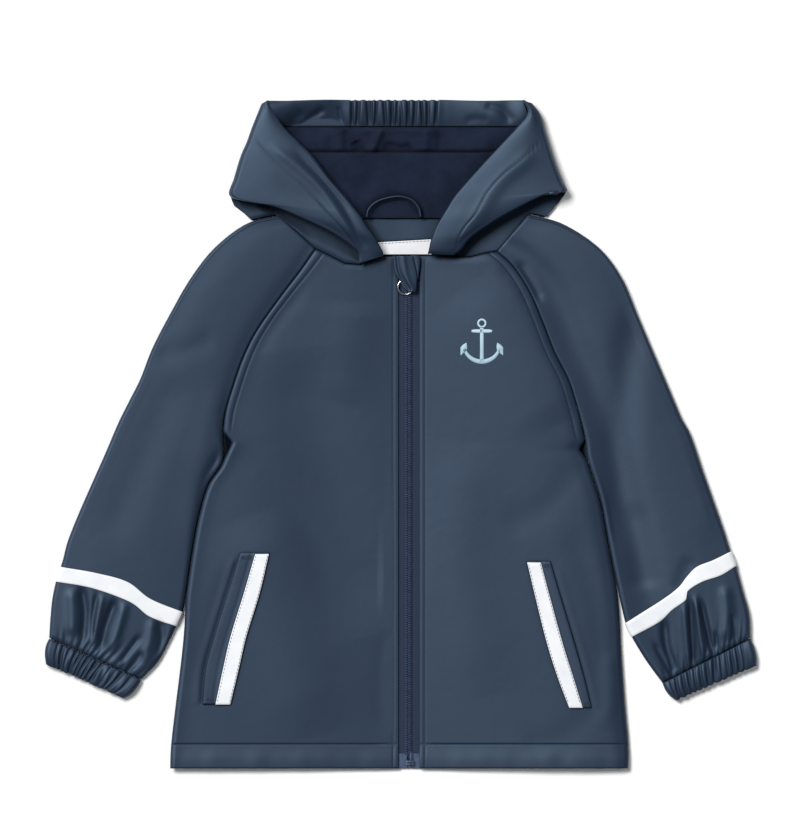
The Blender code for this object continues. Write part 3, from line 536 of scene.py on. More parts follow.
def make_reflective():
    """Silver-white glass-bead tape: pale, a little glossy, with a fine grain of beads."""
    made, tree, shader, place = start_material("reflective")
    cloud = blended(tree, noise(tree, place, 60.0, 3.0), TAPE_GREY, TAPE_PALE)
    tree.links.new(cloud, shader.inputs["Base Color"])
    shader.inputs["Roughness"].default_value = 0.38
    beads = add_node(tree, "ShaderNodeTexVoronoi", [("Vector", place)], Scale=1800.0).outputs["Distance"]
    tree.links.new(relief(tree, beads, 0.3, 0.0001), shader.inputs["Normal"])
    return made


reflective = make_reflective()


def grid_at(grid, places, columns):
    """Points of a grid at fractional rows and columns."""
    places = np.clip(places, 0, grid.shape[0] - 1.001)
    columns = np.clip(columns, 0, grid.shape[1] - 1.001)
    r, c = places.astype(int), columns.astype(int)
    u, v = (places - r)[..., None], (columns - c)[..., None]
    return ((grid[r, c] * (1 - v) + grid[r, c + 1] * v) * (1 - u)
            + (grid[r + 1, c] * (1 - v) + grid[r + 1, c + 1] * v) * u)


def crossing_rows(grid, line):
    """The row at which each column of a sleeve crosses an edge of the tape."""
    line = spread(line, 50)
    line = line[np.argsort(line[:, 0])]
    found = []
    for column in grid.transpose(1, 0, 2):
        above = column[:, 1] - np.interp(column[:, 0], line[:, 0], line[:, 1])
        r = int(np.argmax(above < 0))
        found.append(r - 1 + above[r - 1] / (above[r - 1] - above[r]))
    return np.array(found)


for side in (RIGHT, LEFT):
    grid = sleeve_points[side]
    columns = np.linspace(TAPE_START, grid.shape[1] - 1.3, 150)
    every = np.arange(grid.shape[1])
    upper, lower = (np.interp(columns, every, crossing_rows(grid, edge)) for edge in TAPE_EDGES[side])
    places = upper + (lower - upper) * np.linspace(0, 1, 9)[:, None]
    columns = np.broadcast_to(columns, places.shape)
    outward = grid_at(wall_normals(grid, -1), places, columns)
    tape = grid_at(grid, places, columns) + outward * (SEAM + TAPE_WALL)
    piece = cloth(f"sleeve_tape_{side}_strip", tape, TAPE_WALL, reflective, "reflective")
    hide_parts(f"sleeve_tape_{side}")

# ---------------------------------------------------------------- cuffs
# Each cuff is a turned-up casing of the same cloth over a wide elastic, drawn in to uneven gathers.
# The casing's seam joins it to the sleeve, and its lower edge is a soft scalloped fold.
CUFF_ROWS = {  # inner x y, outer x y, from the seam to the opening
    RIGHT: (
        (-246.1, -225.25, -331.1, -187.25), (-250, -232, -334, -194),
        (-255, -238, -335, -202), (-262, -242.5, -334, -211),
    ),
    LEFT: (
        (233.1, -228.25, 314.1, -187.25), (236, -235, 317, -194),
        (240, -240, 319.5, -203), (246, -244.5, 320, -212),
    ),
}
CUFF_LOW, CUFF_SWELL = 6.6, 2.6  # height that it swells from, and how much it swells at its middle
CUFF_WALL = 2.3
CUFF_DRAW = 1.7  # how far the elastic draws the opening's under side in
CUFF_LENGTHWAYS = 18  # points from the seam to the opening
CUFF_AROUND = 260  # points on the upper side


def make_cuff(side):
    """A flattened tube, smooth where it rests, its upper side cut by gathers of uneven depth."""
    rows = spread(CUFF_ROWS[side], CUFF_LENGTHWAYS)
    outer, inner = [], []
    shares = np.linspace(0, 1, CUFF_AROUND)
    for number, row in enumerate(rows):
        down = number / (CUFF_LENGTHWAYS - 1)
        start, end = row[0:2], row[2:4]
        wide = np.linalg.norm(end - start)
        along = (end - start) / wide
        out = np.array((-along[1], along[0]))
        out *= np.sign(out @ (rows[-1][0:2] - rows[0][0:2]))
        swell = math.sin(math.pi * min(max(down, 0.02), 0.98)) ** 0.45
        top = CUFF_LOW + CUFF_SWELL * swell
        radius = top / 2
        height = np.full(CUFF_AROUND, top)
        pull = np.zeros(CUFF_AROUND)
        at_edge = ease((down - 0.75) * 4)
        for gather in (Gather(*values) for values in GATHERS[side]):
            middle = gather.share + gather.slant * down
            valley = bell(shares - middle, gather.width)
            height -= gather.depth * valley * (0.55 + 0.45 * swell)
            pull += 0.6 * gather.depth * valley
        height += 0.5 * np.sin(shares * 61 + 4 * down) * np.sin(math.pi * shares) * swell
        spots = start + along * (radius + (wide - 2 * radius) * shares)[:, None]
        spots = spots - out * (pull * at_edge)[:, None]
        out_row = [(*s, z) for s, z in zip(spots, height)]
        in_row = [(*s, max(z - CUFF_WALL, CUFF_WALL + 0.4)) for s, z in zip(spots, height)]
        for base, heading, turn in ((end, -along, 1), (start, along, -1)):
            for angle in np.radians(np.linspace(75, -75, 9)) * turn:
                c, s = math.cos(angle), math.sin(angle)
                reach = radius - CUFF_WALL
                out_row.append((*(base + heading * radius * (1 - c)), radius * (1 + s)))
                in_row.append((*(base + heading * (radius - reach * c)), radius + reach * s))
            if turn == 1:
                for share in np.linspace(0, 1, 24):
                    spot = end - along * (radius + (wide - 2 * radius) * share) - out * CUFF_DRAW * at_edge
                    out_row.append((*spot, 0.0))
                    in_row.append((*spot, CUFF_WALL))
        outer.append(out_row)
        inner.append(in_row)
    outer, inner = np.array(outer), np.array(inner)
    count, columns = outer.shape[:2]
    half = count * columns
    middle_top, middle_end = (outer[0] + inner[0]) / 2, (outer[-1] + inner[-1]) / 2
    outer[0] += (outer[1] - outer[0]) * 0.35
    inner[0] += (inner[1] - inner[0]) * 0.35
    faces = grid_faces(count, columns, 0, False, True) + grid_faces(count, columns, half, True, True)
    for c in range(columns):
        d = (c + 1) % columns
        faces += [(d, c, 2 * half + c, 2 * half + d), (half + c, half + d, 2 * half + d, 2 * half + c)]
        a, b = (count - 1) * columns + c, (count - 1) * columns + d
        e, f = 2 * half + columns + c, 2 * half + columns + d
        faces += [(a, b, f, e), (half + b, half + a, e, f)]
    points = np.concatenate([outer.reshape(-1, 3), inner.reshape(-1, 3), middle_top, middle_end])
    piece = mesh_piece(f"cuff_{side}_casing", points, faces, coated_cloth)
    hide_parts(f"cuff_{side}")


for side in (RIGHT, LEFT):
    make_cuff(side)

# ---------------------------------------------------------------- front panels
# The two fronts are cut to the raglan and side seams, turned in along the zip and up at the hem.
# They lie on the back panel, full over the chest and pressed at the sides, each with a slanted pocket.
FRONT_HEIGHTS = {  # at equal shares from the zip to the seam
    RIGHT: (4.5, 6.2, 7.5, 8.2, 8.1),
    LEFT: (4.5, 6.7, 8.6, 9.7, 9.1),
}
SEAM_SLOPES = {RIGHT: 0.7, LEFT: -1.8}  # how far a front rises into its raglan seam
FRONT_EDGE_X = 9.6
HEM_Y = -307.0
HEM_STITCH_Y = -284.5
HEM_RISE = 1.1  # how much the hem's doubled band lifts towards its edge
RAGLAN_STITCH = 7.4  # from the seam to its top stitching
EDGE_STITCH = 5.1  # from the turned front edge to its stitching
ZIP_CLEAR, ZIP_REACH = 3.1, 26  # underside of the fronts over the zip tape, and how far out that holds
NECK_FADE = 60  # the neck seam's curve is straight again this far down
SHARED_ROWS = {RIGHT: (8, 12), LEFT: (8, 11)}  # sleeve rows that lie against the body's side
CREVICE = {RIGHT: 0.8, LEFT: 0.25}  # depth of the crease beside each pocket's welt
ARMPITS = {RIGHT: (-163, -7), LEFT: (157, -13)}
LOWER_SIDES = {
    RIGHT: ((-207, -180), (-210, -210), (-215, -250), (-219, -285), (-220, HEM_Y)),
    LEFT: ((193.5, -165), (195.5, -200), (199, -250), (202, -285), (202, HEM_Y)),
}
NECK_SEAM = {  # share of the way from the zip to the raglan seam, and y
    RIGHT: ((0, 164.5), (0.21, 164), (0.45, 156.5), (0.64, 157.5), (0.87, 166.5), (1, 171)),
    LEFT: ((0, 164.5), (0.12, 165), (0.42, 163.5), (0.65, 163.5), (0.84, 167), (1, 169)),
}
POCKETS = {  # y, the x of the tape's inner and outer edge, and the x of the welt's free edge
    RIGHT: (
        (-108, -128, -141, -155), (-146, -137, -152, -167), (-185, -149, -164, -179),
        (-215, -156, -171, -187), (-248, -164, -178, -190),
    ),
    LEFT: (
        (-116, 108, 121, 130), (-150, 116, 130, 140), (-190, 126, 141, 152),
        (-222, 136, 151, 161), (-251, 147, 160, 168),
    ),
}
POCKET_ROWS = 61  # places along each pocket
FRONT_CREASES = {
    RIGHT: (
        (-114, 78, -96, -41, -54, -189, 38.6, -2.11),
        (-160, -78, -128, -170, -100, -281, 33.1, 1.49),
        (-98, 139, -123, 110, -147, 72, 7, -0.31),
        (-159, -10, -114, -60, -73, -143, 14.7, -0.5),
        (-19, -179, -30, -235, -17, -276, 14.7, -0.5),
        (-168, -115, -187, -179, -192, -235, 8.3, -0.5),
        (-63, 124, -68, 83, -82, 32, 23.9, 0.99),
    ),
    LEFT: (
        (47, 133, 98, 60, 132, 5, 36.8, 1.1),
        (83, 155, 101, 139, 115, 119, 7.4, -0.43),
        (155, -12, 121, -58, 81, -78, 13.8, -0.56),
        (144, -87, 167, -152, 176, -235, 11, -0.56),
        (40, -5, 36, -115, 65, -244, 25.8, 1.12),
        (179, -198, 181, -235, 172, -271, 9.2, 0.5),
        (168, -244, 139, -271, 102, -279, 11, -0.37),
    ),
}
NEAR_EDGE = np.array((0, 0.5, 1.2, 2.2, 3.2, 4.0, 4.6, 5.1, 5.6, 6.3, 7.0, 7.4, 7.8, 8.6, 9.8, 11.2, 12.8))
FRONT_SHARES = np.concatenate([np.linspace(0, 0.5, 34), np.linspace(0.5, 1, 60)[1:]])[1:-1]
FRONT_STEPS = ((-100, 2.4), (-256, 1.25), (-281, 2.1), (-288, 0.55), (-303, 1.7), (-305.6, 0.8))
SIDE_ROWS = 40  # places along each side seam


def outer_edge(side):
    """The front's outer edge from the neck down: the raglan seam, the armpit, then the side seam."""
    first, last = SHARED_ROWS[side]
    raglan = through(SLEEVES[side], np.linspace(0, ARMPIT_ROW, ARMPIT_ROW * 6 + 1))[:, 0:2]
    beside = through(SLEEVES[side], np.linspace(first, last, (last - first) * 8 + 1))[:, 0:2]
    lower = (SLEEVES[side][last - 1][0:2], SLEEVES[side][last][0:2], *LOWER_SIDES[side])
    lower = through(lower, np.linspace(1, len(lower) - 1, SIDE_ROWS))[1:]
    edge = np.vstack([raglan, ARMPITS[side], beside, lower])
    return edge - np.array((side_sign(side) * SEAM, 0))


def front_outer(side):
    """Outer points of a front, row by row from the neck to the hem, from the zip to the seam."""
    sign = side_sign(side)
    edge = outer_edge(side)
    top_y = edge[0, 1]
    ys = [top_y]
    for stop, step in FRONT_STEPS:
        ys += list(np.arange(ys[-1] - step, stop, -step))
    ys = np.array(ys + [HEM_Y + 0.5, HEM_Y])
    edge_x = np.interp(-ys, -edge[:, 1], edge[:, 0])
    wide = np.abs(edge_x) - FRONT_EDGE_X
    free = (wide - 2 * NEAR_EDGE[-1])[:, None]
    from_zip = np.concatenate([np.broadcast_to(NEAR_EDGE, (len(ys), len(NEAR_EDGE))),
                               NEAR_EDGE[-1] + free * FRONT_SHARES,
                               wide[:, None] - NEAR_EDGE[::-1]], axis=1)
    off_seam = wide[:, None] - from_zip
    x = sign * (FRONT_EDGE_X + from_zip)
    share = from_zip / wide[:, None]
    shares, heights = zip(*NECK_SEAM[side])
    lift = np.interp(share, shares, heights) - top_y
    y = ys[:, None] + lift * np.clip(1 - (top_y - ys) / NECK_FADE, 0, 1)[:, None]
    off_hem = np.broadcast_to(ys[:, None] - HEM_Y, x.shape)
    armpit_y = SLEEVES[side][ARMPIT_ROW][1]
    pressed = ease((armpit_y + 28 - ys) / 50)[:, None]
    profile = np.array(FRONT_HEIGHTS[side])[:, None]
    top = through(profile, (share * (len(profile) - 1)).ravel()).reshape(share.shape)
    top = profile[0] + (top - profile[0]) * (0.55 + 0.45 * ease((wide - 60) / 110))[:, None]
    fade = ease(off_seam / 10 + 0.1) * ease(from_zip / 14) * ease(off_hem / 30 + 0.25)
    top = top + fade * crease_height(x, y, FRONT_CREASES[side])
    raglan = ease((ys - armpit_y + 4) / 16)[:, None]
    top += raglan * (0.2 * bell(off_seam - 4, 2.2) - 0.3 * bell(off_seam - RAGLAN_STITCH, 0.8))
    top += SEAM_SLOPES[side] * bell(off_seam, 9) - 0.9 * bell(off_seam, 0.9) * raglan
    top -= (SEAM_TOP - PRESSED_TOP) * pressed * (1 - rounded(off_seam, SIDE_REACH))
    top += 0.2 * bell(from_zip - 2.2, 1.6) - 0.25 * bell(from_zip - EDGE_STITCH, 0.7)
    pocket = spread(POCKETS[side], POCKET_ROWS)
    outward = np.abs(x) - np.interp(-y, -pocket[:, 0], np.abs(pocket[:, 3]))
    along = ease((pocket[0, 0] - y) / 14) * ease((y - pocket[-1, 0] + 2) / 6)
    top -= along * (CREVICE[side] * bell(outward - 0.8, 1.5) - 0.2 * bell(outward - 5.5, 3.4))
    below = HEM_STITCH_Y - ys[:, None]
    wave = 0.22 * np.sin(x / 8.1 + 1.3 * np.sin(x / 23)) + 0.07 * np.sin(x / 3.3)
    top += (HEM_RISE + wave) * ease(below / 16) - 0.8 * bell(below, 0.7)
    top -= 0.9 * (1 - rounded(off_hem, 2.2))
    top -= 0.8 * bell(np.arange(len(ys))[:, None], 1.2)
    lowest = np.where(np.abs(x) < ZIP_REACH, ZIP_CLEAR, LAYER_1) + WALL
    return np.stack([x, y, np.maximum(top, lowest)], axis=2)


front_points, front_pieces = {}, {}
for side in (RIGHT, LEFT):
    front_points[side] = front_outer(side)
    piece = cloth(f"front_{side}_cloth", front_points[side], WALL, coated_cloth, up_column=50)
    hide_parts(f"front_{side}")
    front_pieces[side] = piece

# ---------------------------------------------------------------- back panel
# The back is one piece of the same cloth, cut to the back raglan seams and the side seams. It lies
# flat under the fronts, is turned up at its hem, and shows only at the neck and the armpits, where
# its inner face is a dull knit backing, painted far darker than the cloth as shade in the armpit holes.
# The knit colours below are the loops' two tones, both painted far darker than the cloth as shade for the
# armpit holes.
SHADED_KNIT_DARK, SHADED_KNIT_LIGHT = (0.0006, 0.0016, 0.0045, 1.0), (0.0016, 0.0034, 0.0085, 1.0)


def plate(outline, low, high, soft=0.45):
    """Points and faces of a flat closed shape on an outline, its rim rounded all round."""
    outline = np.array(outline, float)
    inward = sideways(np.roll(outline, -1, axis=0) - np.roll(outline, 1, axis=0))
    turn = np.roll(outline, -1, axis=0)
    around = np.sign(np.sum(outline[:, 0] * turn[:, 1] - turn[:, 0] * outline[:, 1]))
    thick = high - low
    rings = ((3 * soft, low), (soft, low), (0.25 * soft, low + 0.2 * thick), (0, low + 0.5 * thick),
             (0.25 * soft, high - 0.2 * thick), (soft, high), (3 * soft, high))
    points = np.concatenate([np.column_stack([outline + inward * around * inset, np.full(len(outline), z)])
                             for inset, z in rings])
    count = len(outline)
    faces = grid_faces(len(rings), count, 0, around < 0, True)
    caps = [tuple(range(count))[::-1], tuple(range((len(rings) - 1) * count, len(rings) * count))]
    faces += [cap[::-1] for cap in caps] if around < 0 else caps
    return points, faces


def make_shaded_knit():
    """The coated cloth's inner face: a fine dull knit, painted very dark as shade in the armpit holes."""
    made, tree, shader, place = start_material("painted_shade_knit_backing")
    loops = add_node(tree, "ShaderNodeTexVoronoi", [("Vector", place)], Scale=1400.0).outputs["Distance"]
    tree.links.new(blended(tree, loops, SHADED_KNIT_DARK, SHADED_KNIT_LIGHT), shader.inputs["Base Color"])
    shader.inputs["Roughness"].default_value = 0.95
    shader.inputs["Specular IOR Level"].default_value = 0.08
    tree.links.new(relief(tree, loops, 0.3, 0.0002), shader.inputs["Normal"])
    return made


outline = []
for side in (RIGHT, LEFT):
    last = SHARED_ROWS[side][1]
    seam = through(SLEEVES[side], np.linspace(0, last, last * 5 + 1))[:, 2:4]
    edge = np.vstack([seam - np.array((side_sign(side) * SEAM, 0)), outer_edge(side)[1 - SIDE_ROWS :: 3]])
    outline += list(edge) if side == RIGHT else list(edge[::-1])
outline.append((-5.0, 196.5))
BACK_NECK = ((-60.0, 198.3), (-5.0, 196.9), (52.0, 198.3))  # where the hood meets it
back = mesh_piece("back_cloth", *plate(outline, 0.0, WALL), coated_cloth)
# The back's upper, inner face takes the knit, painted dark as shade in the armpit holes.
back.data.materials.append(make_shaded_knit())
back.data.polygons[len(back.data.polygons) - 1].material_index = 1  # the flat inner face
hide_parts("back")

# ---------------------------------------------------------------- stitching
# Navy sewing thread, lock-stitched: each stitch is a short rounded length of thread that dips into
# the cloth at both ends. Here it runs along the raglan seams, the fronts' turned edges and the hem.
STITCH_LONG = 2.5
STITCH_GAP = 0.75
THREAD_RADIUS = 0.24
STITCH_RINGS = (  # share of the stitch's length, rise and fullness of the thread there
    (0.0, -0.12, 0.4), (0.22, 0.10, 1.0), (0.78, 0.10, 1.0), (1.0, -0.12, 0.4),
)
THREAD_DARK, THREAD_LIGHT = (0.022, 0.034, 0.056, 1.0), (0.040, 0.060, 0.092, 1.0)


def make_thread():
    """Twisted polyester thread: navy, slightly silky, with fine diagonal plies."""
    made, tree, shader, place = start_material("thread")
    plies = weave(tree, place, 900.0, 2.0, "DIAGONAL")
    tree.links.new(blended(tree, plies, THREAD_DARK, THREAD_LIGHT), shader.inputs["Base Color"])
    shader.inputs["Roughness"].default_value = 0.8
    shader.inputs["Specular IOR Level"].default_value = 0.25
    tree.links.new(relief(tree, plies, 0.3, 0.0001), shader.inputs["Normal"])
    return made


thread = make_thread()


def top_of(*pieces):
    """A function giving the height in millimetres of the pieces' upper face at a place."""
    trees = []
    for piece in pieces:
        corners = [vertex.co for vertex in piece.data.vertices]
        trees.append(BVHTree.FromPolygons(corners, [tuple(face.vertices) for face in piece.data.polygons]))

    def height(x, y):
        found = [tree.ray_cast(Vector((x * MM, y * MM, 0.1)), Vector((0, 0, -1)))[0] for tree in trees]
        return max([hit.z / MM for hit in found if hit is not None], default=None)

    return height


def hexagon(centre, aside, wide, tall):
    """Six points of a tube's ring round a place, the first of them aside of it."""
    points = []
    for turn in (number * math.pi / 3 for number in range(6)):
        level = np.array(centre) + np.array(aside) * math.cos(turn) * wide
        points.append(level + np.array((0, 0, math.sin(turn) * tall)))
    return points


def tube_faces(rings, around, base=0, flip=False, flip_ends=False):
    """Side and end faces of a tube of rings, which is closed at both ends."""
    last = base + around * (rings - 1)
    ends = [tuple(range(base, base + around)), tuple(range(last + around - 1, last - 1, -1))]
    return grid_faces(rings, around, base, flip, True) + [end[::-1] if flip_ends else end for end in ends]


def sew(name, height, lines, long=STITCH_LONG, gap=STITCH_GAP):
    """Rows of stitches over a surface, each row along a bent line of x, y places."""
    points, faces = [], []
    for line in lines:
        line = np.array(line, float)
        steps = np.linalg.norm(np.diff(line, axis=0), axis=1)
        along = np.concatenate([[0], np.cumsum(steps)])
        count = int(along[-1] // (long + gap))
        for number in range(count):
            s = number * (long + gap) + gap / 2
            places = [s + long * share for share, _, _ in STITCH_RINGS]
            spots = np.column_stack([np.interp(places, along, line[:, axis]) for axis in (0, 1)])
            tops = [height(*spot) for spot in spots]
            if None in tops:
                continue
            heading = (spots[-1] - spots[0]) / np.linalg.norm(spots[-1] - spots[0])
            aside = np.array((-heading[1], heading[0], 0))
            base = len(points)
            for spot, top, (_, rise, full) in zip(spots, tops, STITCH_RINGS):
                points += hexagon((*spot, top + rise), aside, THREAD_RADIUS * full, THREAD_RADIUS * full)
            faces += tube_faces(len(STITCH_RINGS), 6, base)
    mesh_piece(name, points, faces, thread)


for side in (RIGHT, LEFT):
    sign = side_sign(side)
    grid = front_points[side]
    height = top_of(front_pieces[side])
    inside = np.abs(grid[:, -1, 0])[:, None] - np.abs(grid[:, :, 0])
    armpit = np.argmax(grid[:, -1, 1] < SLEEVES[side][ARMPIT_ROW][1] + 4)
    raglan = [(sign * np.interp(-RAGLAN_STITCH, -inside[r], np.abs(grid[r, :, 0])),
               np.interp(-RAGLAN_STITCH, -inside[r], grid[r, :, 1])) for r in range(2, armpit)]
    edge = [(sign * (FRONT_EDGE_X + EDGE_STITCH), y) for y in np.linspace(161, HEM_Y + 1, 60)]
    wide = np.interp(-HEM_STITCH_Y, -outer_edge(side)[:, 1], np.abs(outer_edge(side)[:, 0]))
    hem = [(sign * x, HEM_STITCH_Y) for x in np.linspace(FRONT_EDGE_X + EDGE_STITCH + 1, wide - 1.5, 60)]
    sew(f"stitches_front_{side}", height, (raglan, edge, hem))

# ---------------------------------------------------------------- pockets
# A slanted welt of coated cloth lies on each front over the pocket's opening. A reflective tape is
# sewn along its inner side, its free edge is the outer one, and a bar tack holds each end.
TAPE_REST = 9.0  # height of the tape where no welt lies under it
for side in (RIGHT, LEFT):
    sign = side_sign(side)
    height = top_of(front_pieces[side])
    rows = spread(POCKETS[side], POCKET_ROWS)
    shares = np.linspace(0, 1, 19)
    x = rows[:, 1:2] + (rows[:, 3:4] - rows[:, 1:2]) * shares
    y = np.broadcast_to(rows[:, 0:1], x.shape)
    z = np.vectorize(height)(x, y)
    free = 0.35 * ease((shares - 0.7) / 0.3) * np.sin(np.linspace(0, math.pi, POCKET_ROWS))[:, None]
    dip = 0.35 * bell(shares - 0.62, 0.05)
    welt = np.stack([x, y, z + SEAM + WALL + free - dip], axis=2)
    piece = cloth(f"pocket_welt_{side}_cloth", welt, WALL - 0.1, coated_cloth)
    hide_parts(f"pocket_welt_{side}")
    welt_height = top_of(piece)
    shares = np.linspace(0.03, 1, 9)
    x = rows[:, 1:2] + (rows[:, 2:3] - rows[:, 1:2]) * shares
    y = np.broadcast_to(rows[:, 0:1], x.shape)
    z = np.array(np.vectorize(welt_height)(x, y * 0.998 - 0.2), float)
    z = np.where(np.isnan(z), TAPE_REST, z)
    tape = np.stack([x, y, z + SEAM + TAPE_WALL], axis=2)
    tape_piece = cloth(f"pocket_tape_{side}_strip", tape, TAPE_WALL, reflective, "reflective")
    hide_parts(f"pocket_tape_{side}")
    tape_height = top_of(tape_piece)
    inner_line = [(row[1] + sign * 1.4, row[0]) for row in rows[1:-1]]
    outer_line = [(row[2] - sign * 1.2, row[0]) for row in rows[1:-1]]
    edge_line = [(row[3] - sign * 2.0, row[0]) for row in rows[1:-1]]
    sew(f"stitches_pocket_tape_{side}", tape_height, (inner_line, outer_line))
    tacks = []
    for row in (rows[2], rows[-3]):
        for step in np.arange(-1.2, 1.3, 0.6):
            tacks.append([(row[2] + sign * 2.0, row[0] + step), (row[3] - sign * 1.0, row[0] + step + 0.2)])
    sew(f"stitches_pocket_{side}", welt_height, [edge_line])
    sew(f"bar_tacks_{side}", welt_height, tacks, 2.4, 0.1)

# ---------------------------------------------------------------- hood sides
# Each hood side is cut as one panel of coated cloth backed with fleece. It is folded over at its
# outer edge, so that its face lies up, with a stitched casing along the rim of the opening.
COWL_LOW = 12.0
WING_ROLL, WING_UNDER = 5.0, 8.0  # radius of the outer fold, and the turn under it
WING_CURL, RIM_DROP = 2.6, 1.0  # radius of the rim's roll, and how far it lies under the highest point
WING_BULGE = {RIGHT: 1.2, LEFT: 0.2}
FOLD_SHARE = {RIGHT: 0.95, LEFT: 0.86}  # height of the face where it turns into the outer fold
WINGS = {  # rim x y, outer fold x y, lowest and highest point, from the crown to the chin
    RIGHT: (
        (-129.5, 308, -135.5, 305, LAYER_1, 15.5),
        (-117, 286, -144, 284, LAYER_1, 17.2),
        (-103, 271, -149, 270, LAYER_1, 18.2),
        (-89, 257, -155, 256, LAYER_1, 19),
        (-73, 236, -161, 236, LAYER_1, 20),
        (-59, 220, -165, 220, 3.0, 20.5),
        (-51, 210, -146, 214, COWL_LOW, 21),
        (-44, 201, -126, 210.5, COWL_LOW, 21.5),
        (-38, 191, -104, 201.5, COWL_LOW, 21.5),
        (-32, 183, -81, 191, COWL_LOW, 20.5),
        (-28, 176, -63, 180.5, COWL_LOW, 18.5),
        (-24, 169, -48, 169, COWL_LOW, 16.5),
        (-23.5, 164.3, -46, 157.3, COWL_LOW, 14.5),
    ),
    LEFT: (
        (104.5, 308, 113, 305.5, LAYER_1, 14),
        (109, 296, 121, 295, LAYER_1, 15.4),
        (99, 283, 125, 281, LAYER_1, 16.8),
        (73, 255, 133, 255, LAYER_1, 18.5),
        (54, 234, 141, 234, LAYER_1, 19.5),
        (42, 220, 145, 224, 3.0, 20.5),
        (35, 209, 128, 222, COWL_LOW, 21),
        (29, 199, 102, 209.5, COWL_LOW, 21.5),
        (24, 190, 79, 196.5, COWL_LOW, 21.3),
        (20, 179, 58, 182, COWL_LOW, 20.6),
        (18, 170, 48, 170, COWL_LOW, 19),
        (17, 166.5, 41, 165, COWL_LOW, 16.5),
    ),
}
CASING_LINES = {  # the stitched line of the rim's casing, from the outer fold to the chin
    RIGHT: (
        (-141, 272), (-134, 263), (-124, 252), (-111, 240), (-97, 228), (-81, 212), (-67, 195), (-54, 178),
        (-47, 166),
    ),
    LEFT: (
        (124, 271), (114, 263), (103, 253), (86, 239), (72, 223), (61, 203), (52, 192), (46, 182),
        (45, 172),
    ),
}
WingForm = namedtuple("WingForm", "width rise line")
WING_FORMS = {  # soft ridges and troughs that run down to the chin
    RIGHT: (
        (4.4, 1.3, ((-130, 268), (-114, 256), (-99, 244), (-83, 229), (-70, 212), (-59, 194), (-50, 177))),
        (3.6, -1.2, ((-108, 264), (-96, 252), (-80, 236), (-64, 216), (-54, 199), (-45, 182), (-38, 170))),
        (9.0, -0.6, ((-128, 240), (-104, 222), (-86, 206), (-68, 188), (-56, 174))),
    ),
    LEFT: (
        (8.0, 0.35, ((104, 268), (88, 252), (72, 236), (58, 218), (47, 200), (38, 184), (33, 172))),
        (7.5, 1.3, ((117, 262), (106, 252), (89, 238), (76, 223), (65, 204), (57, 193), (50, 183),
                    (47, 173))),
    ),
}
WING_WALL = 1.6


def make_wing(side):
    """The hood's side: rolled rim, face with its casing line, round outer fold and a turn under it."""
    rows = spread(WINGS[side], (len(WINGS[side]) - 1) * 9 + 1)
    rim, fold = rows[:, 0:2], rows[:, 2:4]
    low, high = np.maximum(rows[:, 4], LAYER_1), rows[:, 5]
    wide = np.linalg.norm(fold - rim, axis=1)
    along = (fold - rim) / wide[:, None]
    roll = np.minimum(WING_ROLL, 0.42 * wide)
    under = np.minimum(WING_UNDER, 0.3 * wide)
    fold_top = low + (high - low) * FOLD_SHARE[side]
    curl = np.minimum(WING_CURL, 0.12 * wide)
    bulge = WING_BULGE[side] * ease(wide / 70)
    columns = []
    for angle in np.radians((0, 22, 45, 68)):
        spot = rim + along * (curl * (1 - math.cos(angle)))[:, None]
        columns.append(np.column_stack([spot, high - RIM_DROP - curl * (1 - math.sin(angle))]))
    seam = spread(CASING_LINES[side], 50)
    forms = [WingForm(*values) for values in WING_FORMS[side]]
    for share in np.linspace(0.0, 1.0, 64):
        spot = rim + along * (curl + (wide - roll - curl) * share)[:, None]
        top = high - RIM_DROP * (1 - share) ** 4 + (fold_top - high) * share**3
        top += bulge * math.sin(math.pi * share**0.8)
        x, y = spot[:, 0], spot[:, 1]
        fade = ease(share * wide / 5) * ease((1 - share) * wide / 12 + 0.2)
        away, at = line_distance(x, y, seam)
        top = top - 0.5 * fade * bell(away, 0.9) * ease(at * 12 + 0.3)
        for form in forms:
            away, at = line_distance(x, y, spread(form.line, 30))
            top += form.rise * fade * bell(away, form.width) * ease(at * 5 + 0.1) * ease((1 - at) * 6 + 0.3)
        columns.append(np.column_stack([spot, top]))
    top_edge = columns[-1][:, 2]
    for angle in np.radians(np.linspace(80, -90, 14)):
        c, s = math.cos(angle), math.sin(angle)
        spot = fold - along * (roll * (1 - c))[:, None]
        columns.append(np.column_stack([spot, low + (top_edge - low) / 2 * (1 + s)]))
    for share in (0.35, 0.7, 1.0):
        spot = fold - along * (roll + under * share)[:, None]
        columns.append(np.column_stack([spot, low]))
    outer = np.stack(columns, axis=1)
    piece = cloth(f"hood_side_{side}_cloth", outer, WING_WALL, coated_cloth, up_column=20)
    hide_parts(f"hood_side_{side}")
    sew(f"stitches_hood_{side}", top_of(piece), [seam[2:-2]])


for side in (RIGHT, LEFT):
    make_wing(side)

# ---------------------------------------------------------------- hood underside
# The hood's centre panel and the lower halves of its two sides lie flat under the rest. Their joining
# seams run from the neck to the casing.
HOOD_CENTRE_X = {RIGHT: -59.0, LEFT: 26.0}
HOOD_TOP_Y = 307.8
HOOD_UNDER = {  # from the casing round the outside to the sleeve head
    RIGHT: ((-134, 304.5), (-145, 277), (-154, 255), (-160, 237), (-164, 221), (-161, 211)),
    LEFT: ((112, 305), (124, 279), (132, 253), (138, 237), (144.5, 225), (138, 214)),
}
HOOD_REACH = {RIGHT: 143.0, LEFT: 125.0}  # how far out it lies against the sleeve head


def neck_at(x):
    """Where the hood's neck seam lies at a place along it."""
    return float(np.interp(x, *zip(*BACK_NECK)))


